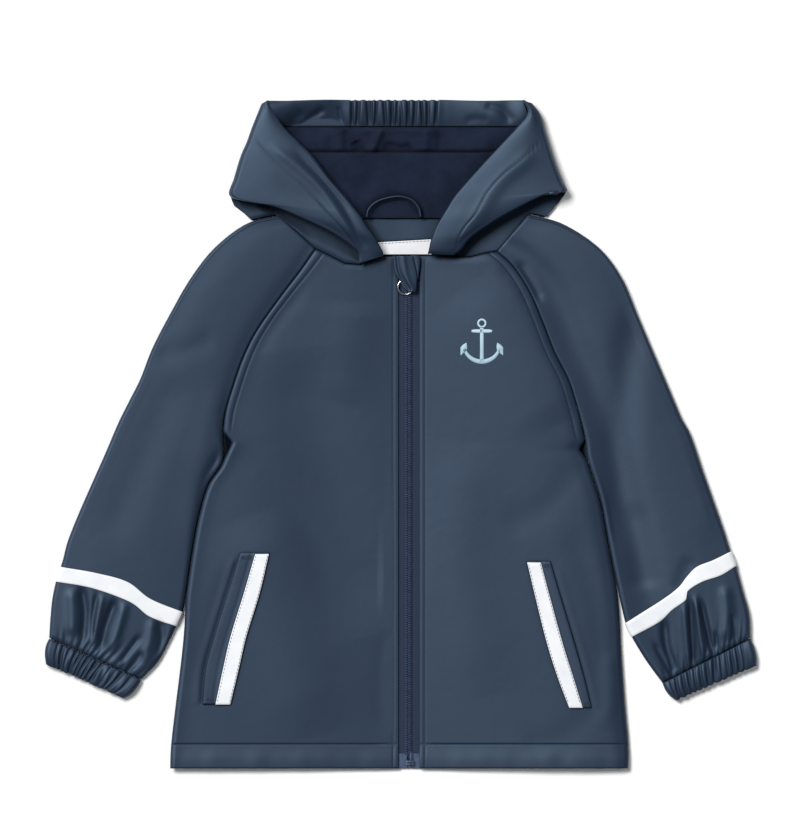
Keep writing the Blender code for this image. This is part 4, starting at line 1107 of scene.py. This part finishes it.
edges = (HOOD_CENTRE_X[RIGHT] + SEAM, HOOD_CENTRE_X[LEFT] - SEAM)
centre = [(x, neck_at(x)) for x in np.linspace(*edges, 12)]
centre += [(x, HOOD_TOP_Y) for x in np.linspace(*edges[::-1], 12)]
hood_centre = mesh_piece("hood_centre_cloth", *plate(centre, 0.0, WALL), coated_cloth)
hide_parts("hood_centre")
for side in (RIGHT, LEFT):
    sign = side_sign(side)
    x = HOOD_CENTRE_X[side] + sign * SEAM
    head = through(SLEEVES[side], np.linspace(1.2, 0, 12))[:, 4:6] + np.array((0, 0.35))
    neck = BACK_NECK[0] if side == RIGHT else BACK_NECK[-1]
    outline = [(x, neck_at(x)), (x, HOOD_TOP_Y), *spread(HOOD_UNDER[side], 30)]
    outline += [*head[head[:, 0] * sign < HOOD_REACH[side]], (neck[0], neck[1] + 1.2)]
    under = mesh_piece(f"hood_under_{side}_cloth", *plate(outline, 0.0, WALL), coated_cloth)
    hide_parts(f"hood_under_{side}")

# ---------------------------------------------------------------- lower hood
# Below the outer fold each hood side runs down to the neck seam, where it is sewn to the front and
# the sleeve head. It lies in the shade of the fold, and sinks in a soft hollow between the two.
HOOD_NECK_TUCK = {
    RIGHT: (
        (-45, 171), (-54, 191), (-72, 208), (-94, 219), (-117, 228), (-136, 229), (-149, 228), (-158, 224),
    ),
    LEFT: (
        (41, 173), (49, 189), (71, 209), (91, 221), (110, 229), (122, 234), (132, 234), (139, 231),
    ),
}
HOOD_NECK_OUT = {
    RIGHT: ((-120.5, 202.2), (-133, 200.4), (-145, 197.4), (-153, 205), (-160, 213.5)),
    LEFT: ((110.5, 203.4), (118, 202.4), (126, 200.4), (133, 208), (140.5, 218)),
}
LOWER_HOOD_TOP = COWL_LOW - 0.3
LOWER_HOOD_ROLL = 0.9
NECK_STEP = {RIGHT: 0.0, LEFT: 3.2}  # how far the hood lies below the neck seam


def make_lower_hood(side):
    """From the neck seam the cloth sinks, then rises again to tuck in under the hood's side."""
    front = front_points[side][0]
    head = sleeve_points[side][0, FIRST_TOP:][::-1]
    seam = [tuple(p) for p in front if abs(p[0]) > 45][::2]
    seam += [tuple(p) for p in head[9::4]]
    seam += [(x, y, PRESSED_TOP) for x, y in HOOD_NECK_OUT[side]]
    seam = np.array(seam)
    tuck = spread(HOOD_NECK_TUCK[side], len(seam))
    z = np.minimum(seam[:, 2], SEAM_TOP) - 0.2
    z = np.convolve(np.pad(z, 4, mode="edge"), np.full(9, 1 / 9), mode="valid") - NECK_STEP[side]
    rise_from = np.interp(np.abs(seam[:, 0]), (60, 100, 150), (0.50, 0.66, 0.62))
    columns = []
    for share in np.linspace(0, 1, 30):
        x = seam[:, 0] + (tuck[:, 0] - seam[:, 0]) * share
        y = seam[:, 1] + 2 * SEAM + (tuck[:, 1] - seam[:, 1] - 2 * SEAM) * share
        top = z + (PRESSED_TOP - z) * ease((share - 0.08) / 0.36)
        top += (LOWER_HOOD_TOP - PRESSED_TOP) * ease((share - rise_from) / 0.34)
        top += LOWER_HOOD_ROLL * bell(share - 0.22, 0.16) * (z - PRESSED_TOP) / 3
        top -= 0.9 * bell(share, 0.05)
        columns.append(np.column_stack([x, y, np.clip(top, PRESSED_TOP, LOWER_HOOD_TOP)]))
    outer = np.stack(columns, axis=1)
    piece = cloth(f"hood_neck_{side}_cloth", outer, WALL, coated_cloth, up_column=5, floor_z=LAYER_1)
    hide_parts(f"hood_neck_{side}")


for side in (RIGHT, LEFT):
    make_lower_hood(side)

# ---------------------------------------------------------------- hood casing
# The hood's front edge at the crown is turned in to a casing. Elastic in its middle draws it up in
# tight gathers, and a row of stitches holds it to the fleece.
CASING_Y = (283.6, 308.0)
CASING_ENDS = {RIGHT: ((-130.0, 307.5), (-117.5, 283.6)), LEFT: ((105, 307.5), (109.5, 295), (101, 283.6))}
CASING_SHAPE = (  # x and height of its middle
    (-130, 15.5), (-117, 13.4), (-104, 9.8), (-92, 7.0), (-78, 5.0), (-66, 4.6), (-56, 6.2),
    (20, 6.2), (45, 5.8), (70, 6.8), (82, 7.0), (92, 4.6), (100, 8.0), (110, 8.8),
)
CASING_TILT = (  # x and how much higher its top edge lies
    (-130, 5.0), (-108, 9.5), (-74, 9.0), (-56, 2.8), (10, 2.0), (110, 0.8),
)
CASING_LOW = 3.6  # height that it swells from
CASING_WALL = 1.4
CASING_GATHERS = (-52.4, -46.9, -37.7, -34.9, -30.4, -22.1, -15.6, -11.0, -7.4, -0.9, 5.5, 12.0, 17.5, 24.8)
GATHER_DEPTH = 3.0
CASING_CREASES = (
    (-99, 284, -90, 294, -78, 303, 3.4, -2.2),
    (-112, 288, -106, 294, -98, 300, 5.0, -1.6),
    (-66, 303, -64, 294, -63, 285, 2.4, -1.2),
    (70, 306, 84, 300, 95, 286, 4.2, -1.5),
    (50, 290, 62, 292, 74, 289, 4.0, -0.8),
)


def make_casing():
    """From the stitched line to the crown's edge, which the gathers pull into small scallops."""
    outer = []
    for share in np.linspace(0, 1, 24):
        y = CASING_Y[0] + (CASING_Y[1] - CASING_Y[0]) * share
        ends = []
        for side in (RIGHT, LEFT):
            xs, ys = zip(*sorted(CASING_ENDS[side], key=lambda p: p[1]))
            ends.append(float(np.interp(y, ys, xs)))
        x = np.linspace(*ends, 330)
        swell = math.sin(math.pi * (0.07 + 0.86 * share)) ** 0.5
        xs, heights = zip(*CASING_SHAPE)
        smooth = sum(np.interp(x + shift, xs, heights) for shift in (-5, -2.5, 0, 2.5, 5)) / 5
        top = CASING_LOW + (smooth - CASING_LOW) * swell + np.interp(x, *zip(*CASING_TILT)) * (share - 0.5)
        top += crease_height(x, np.full(x.shape, y), CASING_CREASES) * swell
        middle = np.exp(-(((x + 13) / 44) ** 6))
        pull = np.zeros(x.shape)
        for number, at in enumerate(CASING_GATHERS):
            lean = 1.8 * math.sin(number * 2.1) * (share - 0.5)
            valley = bell(x - at - lean, 1.1 + 0.5 * math.sin(number * 1.7) ** 2)
            top -= (GATHER_DEPTH + 0.7 * math.sin(number * 3.1)) * valley * (0.3 + 0.7 * swell)
            pull += valley
        top += middle * (0.9 + 0.4 * np.sin(x / 1.9)) * swell
        top += 0.35 * np.sin(x / 11 + 2.5 * share) * (1 - middle) * swell
        edge = ease((share - 0.75) / 0.25)
        bumps = 0.6 * middle - 1.0 * pull + 0.35 * np.sin(x / 15.0) * (1 - middle)
        outer.append(np.column_stack([x, y + edge * bumps, np.maximum(top, PRESSED_TOP)]))
    piece = cloth("hood_casing_cloth", np.array(outer), CASING_WALL, coated_cloth, up_column=100)
    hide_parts("hood_casing")
    sew("stitches_casing", top_of(piece), [[(x, CASING_Y[0] + 1.4) for x in np.linspace(-113, 96, 80)]])


make_casing()

# ---------------------------------------------------------------- fleece lining
# Matte navy fleece lines the hood. The crown part is seamed to a middle panel and puckers under the
# gathered casing; the back part lies over it in a soft roll and runs down to the neck.
FLEECE = 2.0
CROWN_FULL = 2.6
HOOD_LAYER_2 = LAYER_1 + FLEECE + SEAM
CROWN_ROWS = (  # y, first x, last x
    (248, -132, 112), (262, -134, 112), (274, -132, 110), (283.4, -127, 103),
)
BACK_ROWS = (
    (199.2, -66, 50), (215, -80, 64), (230, -94, 76), (245, -106, 88), (256, -114, 97), (260, -116, 99),
)
CROWN_CREASES = (
    (-51, 270, -48, 265, -44, 260, 4.6, -4.2),
    (-24, 268, -10, 265, 4, 268, 4.8, -4.5),
    (-50, 283, -20, 283, 26, 283, 5.0, 2.4),
    (-28, 283, -32, 272, -38, 260, 3.6, 5.5),
    (14, 283, 13, 271, 12, 260, 4.6, 4.2),
    (-68, 283, -68, 271, -68, 260, 5.0, 2.0),
    (-59, 283, -59, 271, -59, 259, 1.5, -2.4),
    (26, 283, 26, 271, 26, 259, 1.5, -2.4),
    (-90, 268, -82, 274, -72, 270, 7.0, 1.5),
    (38, 266, 55, 272, 76, 268, 8.0, 1.5),
    (-112, 281, -104, 268, -94, 258, 8.0, -2.2),
)
BACK_CREASES = (
    (-60, 250, -50, 232, -44, 214, 9.0, -1.0),
    (-10, 254, -6, 236, -14, 222, 11.0, 1.0),
    (50, 252, 44, 232, 34, 214, 9.0, -1.0),
    (22, 250, 24, 236, 20, 220, 7.0, 0.9),
    (-82, 248, -74, 238, -62, 222, 8.0, -1.2),
)
# The first colour on the next line is painted shade, for the fleece deep in folds and under overhangs.
FLEECE_PAINTED_SHADE, FLEECE_SHEEN = (0.0010, 0.0022, 0.0070, 1.0), (0.35, 0.42, 0.75, 1.0)
FLEECE_DARK, FLEECE_LIGHT = (0.0042, 0.0085, 0.0220, 1.0), (0.0098, 0.0170, 0.0385, 1.0)


def make_fleece():
    """Brushed fleece: matte, a soft nap that catches the light, tiny curled tufts; painted shade darkens it
    in folds.
    """
    made, tree, shader, place = start_material("fleece")
    nap = blended(tree, noise(tree, place, 45.0, 5.0), FLEECE_DARK, FLEECE_LIGHT)
    # Painted shade: the nap's colour darkens in folds and under overhangs.
    tree.links.new(with_painted_fold_shade(tree, nap, FLEECE_PAINTED_SHADE, 0.014, 0.55, 0.97)[0], shader.inputs["Base Color"])
    shader.inputs["Roughness"].default_value = 0.95
    shader.inputs["Specular IOR Level"].default_value = 0.2
    shader.inputs["Sheen Weight"].default_value = 0.08
    shader.inputs["Sheen Roughness"].default_value = 0.5
    shader.inputs["Sheen Tint"].default_value = FLEECE_SHEEN
    tufts = noise(tree, place, 650.0, 4.0, Roughness=0.7)
    tree.links.new(relief(tree, tufts, 0.9, 0.0008), shader.inputs["Normal"])
    return made


fleece = make_fleece()


def lining(name, rows, low, creases, roll):
    """A sheet of fleece over its rows; roll rounds its far edge down."""
    table = spread(rows, 44)
    shares = np.linspace(0, 1, 130)
    x = table[:, 1:2] + (table[:, 2:3] - table[:, 1:2]) * shares
    y = np.broadcast_to(table[:, 0:1], x.shape).copy()
    fade = np.sin(math.pi * shares) ** 0.4
    puff = 0 if roll else CROWN_FULL * ease((y - 259) / 5) * ease((285 - y) / 5)
    clear = 1 if roll else ease((y - 257) / 4) * ease((286 - y) / 6)
    top = low + FLEECE + puff + fade * crease_height(x, y, creases) * clear
    top += 0.12 * np.sin(x / 3.1 + y / 2.3) * np.sin(x / 1.7 - y / 3.7)
    if roll:
        inside = table[-1, 0] - table[:, 0]
        edge = 2.2 * rounded(inside, 3.0) * bell(inside, 14) - 0.9 * bell(inside, 0.9)
        top += edge[:, None] * fade
    outer = np.stack([x, y, np.maximum(top, low + 0.9)], axis=2)
    piece = cloth(f"{name}_fleece", outer, FLEECE, fleece, "fleece", up_column=60, floor_z=low)
    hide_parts(name)
    return piece


crown = lining("hood_lining_crown", CROWN_ROWS, LAYER_1, CROWN_CREASES, False)
back_lining = lining("hood_lining_back", BACK_ROWS, HOOD_LAYER_2, BACK_CREASES, True)

# ---------------------------------------------------------------- neck facing, label and hanger
# A band of coated cloth faces the back neck, with a plain white woven label sewn below it and a
# hanger loop of folded cloth that stands up in an arc behind it.
FACING_BOX = (-46, 176.5, 35, 198.9)
LABEL_BOX = (-30, 166, 21, 177.2)
LABEL_WALL = 1.0
NECK_TILT = 2.9  # how much higher the label reaches at its wearer's left end
LOOP_ROUTE = ((-39, 200.5), (-37, 208), (-28, 215.5), (-11, 219.5), (2, 216.5), (9, 209), (11, 200.5))
LOOP_TALL = 5.0
LOOP_SLANT = 4.4  # how far its lower edge lies inside the upper one, at the start
LOOP_WALL = 1.5
LABEL_WHITE, LABEL_SHADE = (0.80, 0.80, 0.81, 1.0), (0.70, 0.70, 0.72, 1.0)


def make_woven():
    """Woven satin label: white, with fine crossed threads."""
    made, tree, shader, place = start_material("white_label")
    both = add_node(tree, "ShaderNodeMath", operation="MULTIPLY")
    for number, direction in enumerate("XY"):
        tree.links.new(weave(tree, place, 520.0, 0.3, direction), both.inputs[number])
    threads = both.outputs["Value"]
    tree.links.new(blended(tree, threads, LABEL_SHADE, LABEL_WHITE), shader.inputs["Base Color"])
    shader.inputs["Roughness"].default_value = 0.6
    tree.links.new(relief(tree, threads, 0.3, 0.0001), shader.inputs["Normal"])
    return made


woven = make_woven()


def flat_strip(name, box, wall, material, slot, wave, tilt_low, tilt_high):
    """A flat strip of cloth over a box, with a faint wave; the tilts lift its long edges at one end."""
    x, y = np.meshgrid(np.linspace(box[0], box[2], 60), np.linspace(0, 1, 20))
    along = (x - box[0]) / (box[2] - box[0])
    y = box[1] + tilt_low * along + (box[3] - box[1] + (tilt_high - tilt_low) * along) * y
    z = LAYER_1 + wall + wave * (np.sin(x / 7.3) + np.sin(x / 4.1 + y / 5)) / 2
    piece = cloth(f"{name}_cloth", np.stack([x, y, z], axis=2), wall * 0.9, material, slot)
    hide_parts(name)
    return piece


facing = flat_strip("neck_facing", FACING_BOX, WALL, coated_cloth, "coated_cloth", 0.25, NECK_TILT * 1.6, 0.0)
label = flat_strip("neck_label", LABEL_BOX, LABEL_WALL, woven, "white_label", 0.12, 0.0, NECK_TILT)
sew("stitches_facing", top_of(facing), [[(x, 178.4 + (x + 45) * 0.058) for x in np.linspace(-45, 34, 40)]])
sew("stitches_label", top_of(label), [[(x, 175.8 + (x + 30) * 0.057) for x in np.linspace(-29.5, 20.5, 30)]])

route = spread(LOOP_ROUTE, 70)
aside = sideways(np.gradient(route, axis=0))
loop_low = HOOD_LAYER_2 + FLEECE + 2 * SEAM
loop_face = []
for share in np.linspace(0, 1, 12):
    slant = LOOP_SLANT * (1 - share) * np.linspace(1, 0.25, len(route))
    lean = 0.75 + 0.5 * math.sin(math.pi * share) - slant
    height = np.full(len(route), loop_low + LOOP_TALL * share)
    loop_face.append(np.column_stack([route + aside * lean[:, None], height]))
loop_outer = np.stack(loop_face, axis=0)
loop_inner = loop_outer - np.column_stack([aside, np.zeros(len(aside))]) * LOOP_WALL
loop_ring = np.concatenate([loop_outer, loop_inner[::-1]], axis=0).transpose(1, 0, 2)
loop_faces = tube_faces(*loop_ring.shape[:2], flip=True)
loop = mesh_piece("hanger_loop_cloth", loop_ring.reshape(-1, 3), loop_faces, coated_cloth)
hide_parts("hanger_loop")

# ---------------------------------------------------------------- zip
# A navy coil zip: two woven tapes, a row of interlocked nylon loops, a bottom box on a stiffening
# film, and a painted slider with a bright wire ring that carries a folded strip of the coat's cloth.
ZIP_TAPE_X = (0.4, 14.0)
ZIP_TAPE_TOP = 2.8
NECK_Y = 164.5
SLIDER_Y = (144.0, 157.0)
TEETH_LOW = 3.0
COIL_PITCH = 1.6
COIL_X = -0.3  # middle of the closed coil
COIL_START = 13.4  # from the hem
COIL_STITCH = 4.6  # from the coil's middle to the stitching beside it
COIL_LOOP = ((-0.35, 0.7, 0.30), (0.2, 1.15, 0.42), (1.4, 1.3, 0.44), (2.7, 1.2, 0.42), (3.5, 0.5, 0.32))
ZIP_DARK, ZIP_LIGHT = (0.013, 0.021, 0.043, 1.0), (0.024, 0.036, 0.068, 1.0)
COIL_DARK, COIL_LIGHT = (0.024, 0.037, 0.078, 1.0), (0.041, 0.061, 0.119, 1.0)
FILM_X, FILM_Y = (0.5, 10.5), (-306.3, -293)
FILM_DARK, FILM_LIGHT = (0.050, 0.070, 0.119, 1.0), (0.064, 0.090, 0.146, 1.0)
METAL_DULL, METAL_BRIGHT = (0.70, 0.70, 0.71, 1.0), (0.86, 0.86, 0.87, 1.0)
RING_CENTRE = (-3.2, 136.2, 6.0)
RING_RADIUS, RING_WIRE = 6.9, 0.75
BOX_BLOCKS = (  # first x y, last x y, corner, lowest, highest, rim: y from the hem, heights from the teeth
    (-3.1, 2.0, 5.2, 7.6, 0.8, 0, 2.2, 0.45),
    (-2.2, 5.2, 4.3, 6.6, 0.4, 2.1, 3.0, 0.3),
    (-2.2, 2.6, 4.3, 3.6, 0.3, 2.1, 2.8, 0.25),
    (0.9, 6.8, 3.6, 15.5, 0.5, 0, 1.8, 0.4),
    (-2.6, 7.8, -0.2, 12.5, 0.5, 0, 1.5, 0.4),
)
SLIDER_BLOCKS = (  # the same, with y from the slider's lower end and heights from the floor
    (-1.0, 8.5, 1.0, 12.5, 0.4, 3.7, 5.0, 0.2),  # post between its two plates
    (-0.9, 1.0, 0.9, 2.6, 0.3, 5.8, 7.3, 0.25),  # feet of its bridge
    (-0.9, 9.4, 0.9, 11.0, 0.3, 5.8, 7.3, 0.25),
    (-0.9, 1.0, 0.9, 11.0, 0.3, 6.9, 7.5, 0.25),  # bridge that holds the ring
)
PullLeaf = namedtuple("PullLeaf", "left right low")
PULL_LEAVES = (
    PullLeaf(((-14.7, 164.7), (-12.9, 150), (-8.3, 141.7), (-5.5, 136), (-0.5, 131.8)),
             ((3.7, 164.7), (5.6, 156), (7.4, 147), (7.2, 139), (6.4, 131.4)), 8.0),
    PullLeaf(((1.0, 165.2), (3.0, 160), (5.4, 154), (7.0, 148), (7.6, 143)),
             ((9.6, 165.0), (10.4, 161), (10.2, 156), (9.4, 150), (8.4, 143)), 6.2),
)
PULL_WALL = 1.2
PULL_RIDGE = ((-5.5, 165), (-4.2, 155), (-2.0, 145), (2.6, 133))
PULL_TROUGH = ((-11.2, 165), (-9.4, 152), (-5.6, 143), (0.6, 134))


def make_zip_cloth():
    """Woven polyester tape: navy, matte, with a fine slanted rib."""
    made, tree, shader, place = start_material("zip_cloth")
    rib = weave(tree, place, 420.0, 1.2, "DIAGONAL")
    tree.links.new(blended(tree, rib, ZIP_DARK, ZIP_LIGHT), shader.inputs["Base Color"])
    shader.inputs["Roughness"].default_value = 0.75
    shader.inputs["Specular IOR Level"].default_value = 0.2
    tree.links.new(relief(tree, rib, 0.5, 0.0002), shader.inputs["Normal"])
    return made


def make_nylon(name, dark, light, rough):
    """Moulded nylon or film: faintly glossy, a little uneven in tone."""
    made, tree, shader, place = start_material(name)
    tone = noise(tree, place, 260.0, 2.0)
    tree.links.new(blended(tree, tone, dark, light), shader.inputs["Base Color"])
    roughness(tree, shader, tone, rough, rough + 0.15)
    shader.inputs["Specular IOR Level"].default_value = 0.45
    shader.inputs["Specular Tint"].default_value = COAT_TINT
    return made


def make_nickel():
    """Bright plated wire: polished, with fine wear."""
    made, tree, shader, place = start_material("bright_metal")
    wear = noise(tree, place, 500.0, 4.0)
    tree.links.new(blended(tree, wear, METAL_DULL, METAL_BRIGHT), shader.inputs["Base Color"])
    shader.inputs["Metallic"].default_value = 1.0
    roughness(tree, shader, wear, 0.15, 0.32)
    return made


def joined(*shapes):
    """Points and faces of several closed shapes as one."""
    points, faces = [], []
    for more_points, more_faces in shapes:
        base = len(points)
        points += [tuple(p) for p in more_points]
        faces += [tuple(base + k for k in face) for face in more_faces]
    return points, faces


def box_outline(x0, y0, x1, y1, corner):
    """A rectangle with cut corners."""
    return ((x0 + corner, y0), (x1 - corner, y0), (x1, y0 + corner), (x1, y1 - corner),
            (x1 - corner, y1), (x0 + corner, y1), (x0, y1 - corner), (x0, y0 + corner))


def block(x0, y0, x1, y1, corner, low, high, soft, base_y):
    """A moulded block with cut corners, its y places counted from a base."""
    return plate(box_outline(x0, base_y + y0, x1, base_y + y1, corner), low, high, soft)


def wire_ring(centre, radius, wire, steps=64, around=12):
    """A round ring of wire lying flat."""
    points = []
    x, y, z = centre
    for a in np.linspace(0, 2 * math.pi, steps, endpoint=False):
        for b in np.linspace(0, 2 * math.pi, around, endpoint=False):
            reach = radius + wire * math.cos(b)
            points.append((x + reach * math.cos(a), y + reach * math.sin(a), z + wire * math.sin(b)))
    faces = grid_faces(steps, around, 0, False, True)
    last = (steps - 1) * around
    faces += [(last + c, last + (c + 1) % around, (c + 1) % around, c) for c in range(around)]
    return points, faces


zip_cloth, nickel = make_zip_cloth(), make_nickel()
nylon = make_nylon("zip_teeth", COIL_DARK, COIL_LIGHT, 0.35)
film = make_nylon("zip_film", FILM_DARK, FILM_LIGHT, 0.28)
for side in (RIGHT, LEFT):
    sign = side_sign(side)
    x, y = np.meshgrid(np.linspace(*ZIP_TAPE_X, 24) * sign, np.linspace(HEM_Y + 0.5, NECK_Y, 160))
    z = ZIP_TAPE_TOP + 0.08 * np.sin(y / 9.0) + 0.10 * np.cos(np.abs(x) * 2.2)
    piece = cloth(f"zip_tape_{side}_weave", np.stack([x, y, z], axis=2), 0.9, zip_cloth, "zip_cloth")
    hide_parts(f"zip_tape_{side}")
    patch = box_outline(FILM_X[0] * sign, FILM_Y[0], FILM_X[1] * sign, FILM_Y[1], 0.5 * sign)
    patch = plate(patch, ZIP_TAPE_TOP + 0.15, ZIP_TAPE_TOP + 0.35, 0.1)
    mesh_piece(f"zip_film_{side}", *patch, film, "zip_cloth")
    points, faces = [], []
    start_y = HEM_Y + COIL_START + (COIL_PITCH / 2 if side == LEFT else 0)
    for number in range(int((SLIDER_Y[0] - 1.0 - start_y) / COIL_PITCH)):
        y0 = start_y + number * COIL_PITCH
        base = len(points)
        for reach, rise, thick in COIL_LOOP:
            centre = (COIL_X + sign * reach, y0 + 0.05 * reach, TEETH_LOW + rise)
            points += hexagon(centre, (0, 1, 0), thick, thick * 0.8)
        faces += tube_faces(len(COIL_LOOP), 6, base, side == RIGHT, side == RIGHT)
    coil = mesh_piece(f"zip_teeth_{side}_coil", points, faces, nylon, "zip_teeth")
    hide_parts(f"zip_teeth_{side}")
    lines = [[(COIL_X + sign * COIL_STITCH, y) for y in np.linspace(HEM_Y + 14, SLIDER_Y[0] - 2, 20)]]
    sew(f"stitches_zip_{side}", top_of(piece), lines, 2.0, 0.6)

box_blocks = [(*row[:5], TEETH_LOW + row[5], TEETH_LOW + row[6], row[7]) for row in BOX_BLOCKS]
box_shape = joined(*(block(*row, HEM_Y) for row in box_blocks))
zip_box = mesh_piece("zip_box_moulding", *box_shape, film, "zip_teeth")
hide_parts("zip_box")

low_y, high_y = SLIDER_Y
wings = ((-3.0, low_y), (3.0, low_y), (4.4, high_y - 4), (3.6, high_y), (-3.6, high_y), (-4.4, high_y - 4))
plates = [plate(wings, low, high, 0.3) for low, high in ((2.9, 3.7), (5.0, 5.9))]
slider_shape = joined(*plates, *(block(*row, low_y) for row in SLIDER_BLOCKS))
slider = mesh_piece("zip_slider_body", *slider_shape, nylon, "bright_metal")
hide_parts("zip_slider")
ring = mesh_piece("zip_ring_wire", *wire_ring(RING_CENTRE, RING_RADIUS, RING_WIRE), nickel, "bright_metal")
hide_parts("zip_ring")

for number, leaf in enumerate(PULL_LEAVES):
    left, right = spread(leaf.left, 40), spread(leaf.right, 40)
    share = np.linspace(0, 1, 26)[None, :, None]
    spots = left[:, None] + (right - left)[:, None] * share
    x, y = spots[..., 0], spots[..., 1]
    z = leaf.low + WALL + 0.9 * np.sin(math.pi * share[..., 0]) ** 0.6 * np.ones_like(x)
    if number == 0:
        z += 0.9 * bell(line_distance(x, y, spread(PULL_RIDGE, 20))[0], 2.4)
        z -= 1.2 * bell(line_distance(x, y, spread(PULL_TROUGH, 20))[0], 1.5)
    name = ("zip_pull_cloth", "zip_pull_fold")[number]
    cloth(name, np.stack([x, y, z], axis=2), PULL_WALL, coated_cloth, up_column=12)
    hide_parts("zip_pull")

# ---------------------------------------------------------------- chest print
# A small pale blue anchor is printed on the wearer's left front. The ink is a thin flexible layer
# that follows the cloth.
ANCHOR_PLACE = (67.0, 86.0)
INK_UPPER, INK_LOWER = (0.44, 0.60, 0.70, 1.0), (0.34, 0.49, 0.59, 1.0)
INK_THICK = 0.14
INK_EDGE = ((-1, -0.1), (-0.96, INK_THICK), (0, INK_THICK), (0.96, INK_THICK), (1, -0.1))  # across, rise


def arc(x, y, radius, start, stop):
    """Points along an arc, its angles in degrees."""
    angles = np.radians(np.linspace(start, stop, 40))
    return np.stack([x + radius * np.cos(angles), y + radius * np.sin(angles)], axis=1)


def straight(x0, y0, x1, y1):
    """Points along a straight line."""
    return np.linspace((x0, y0), (x1, y1), 30)


def make_ink():
    """Screen-print ink: pale blue, paler at its top, matte with a faint pebbled skin."""
    made, tree, shader, place = start_material("print_ink")
    across = add_node(tree, "ShaderNodeSeparateXYZ", [("Vector", place)])
    fall = add_node(tree, "ShaderNodeMapRange", [("Value", across.outputs["Y"])],
                    **{"From Min": (ANCHOR_PLACE[1] - 20) * MM, "From Max": (ANCHOR_PLACE[1] + 20) * MM})
    tree.links.new(blended(tree, fall.outputs["Result"], INK_LOWER, INK_UPPER), shader.inputs["Base Color"])
    shader.inputs["Roughness"].default_value = 0.6
    tree.links.new(relief(tree, noise(tree, place, 1500.0, 2.0), 0.3, 0.0001), shader.inputs["Normal"])
    return made


def ribbon(line, widths, height):
    """A thin strip of ink along a line, its width given at equal shares of its length."""
    half = np.interp(np.linspace(0, 1, len(line)), np.linspace(0, 1, len(widths)), widths) / 2
    points = []
    for spot, aside, reach in zip(line, sideways(np.gradient(line, axis=0)), half):
        for across, rise in INK_EDGE:
            x, y = spot + aside * across * reach
            points.append((x, y, height(x, y) + rise))
    return points, tube_faces(len(line), len(INK_EDGE), flip=True)


ax, ay = ANCHOR_PLACE
ink_height = top_of(front_pieces[LEFT])
full = (2.0, 3.0, 3.2, 3.2, 3.2, 3.2, 3.0, 2.0)
anchor = joined(
    ribbon(arc(ax, ay + 16.8, 3.4, 0, 360), (1.7, 1.7), ink_height),
    ribbon(straight(ax, ay + 13.4, ax, ay - 18.5), (3.2, 3.4, 3.4, 3.8), ink_height),
    ribbon(straight(ax - 9.5, ay + 9.6, ax + 9.5, ay + 9.6), full, ink_height),
    ribbon(arc(ax, ay - 1.5, 17.0, 198, 342), (2.4, 3.2, 3.9, 4.2, 3.9, 3.2, 2.4), ink_height),
    ribbon(straight(ax - 19.4, ay - 12.6, ax - 14.2, ay - 1.2), (0.5, 3.4, 6.4, 4.6, 0.3), ink_height),
    ribbon(straight(ax + 19.4, ay - 12.6, ax + 14.2, ay - 1.2), (0.5, 3.4, 6.4, 4.6, 0.3), ink_height),
)
mesh_piece("chest_print", *anchor, make_ink())
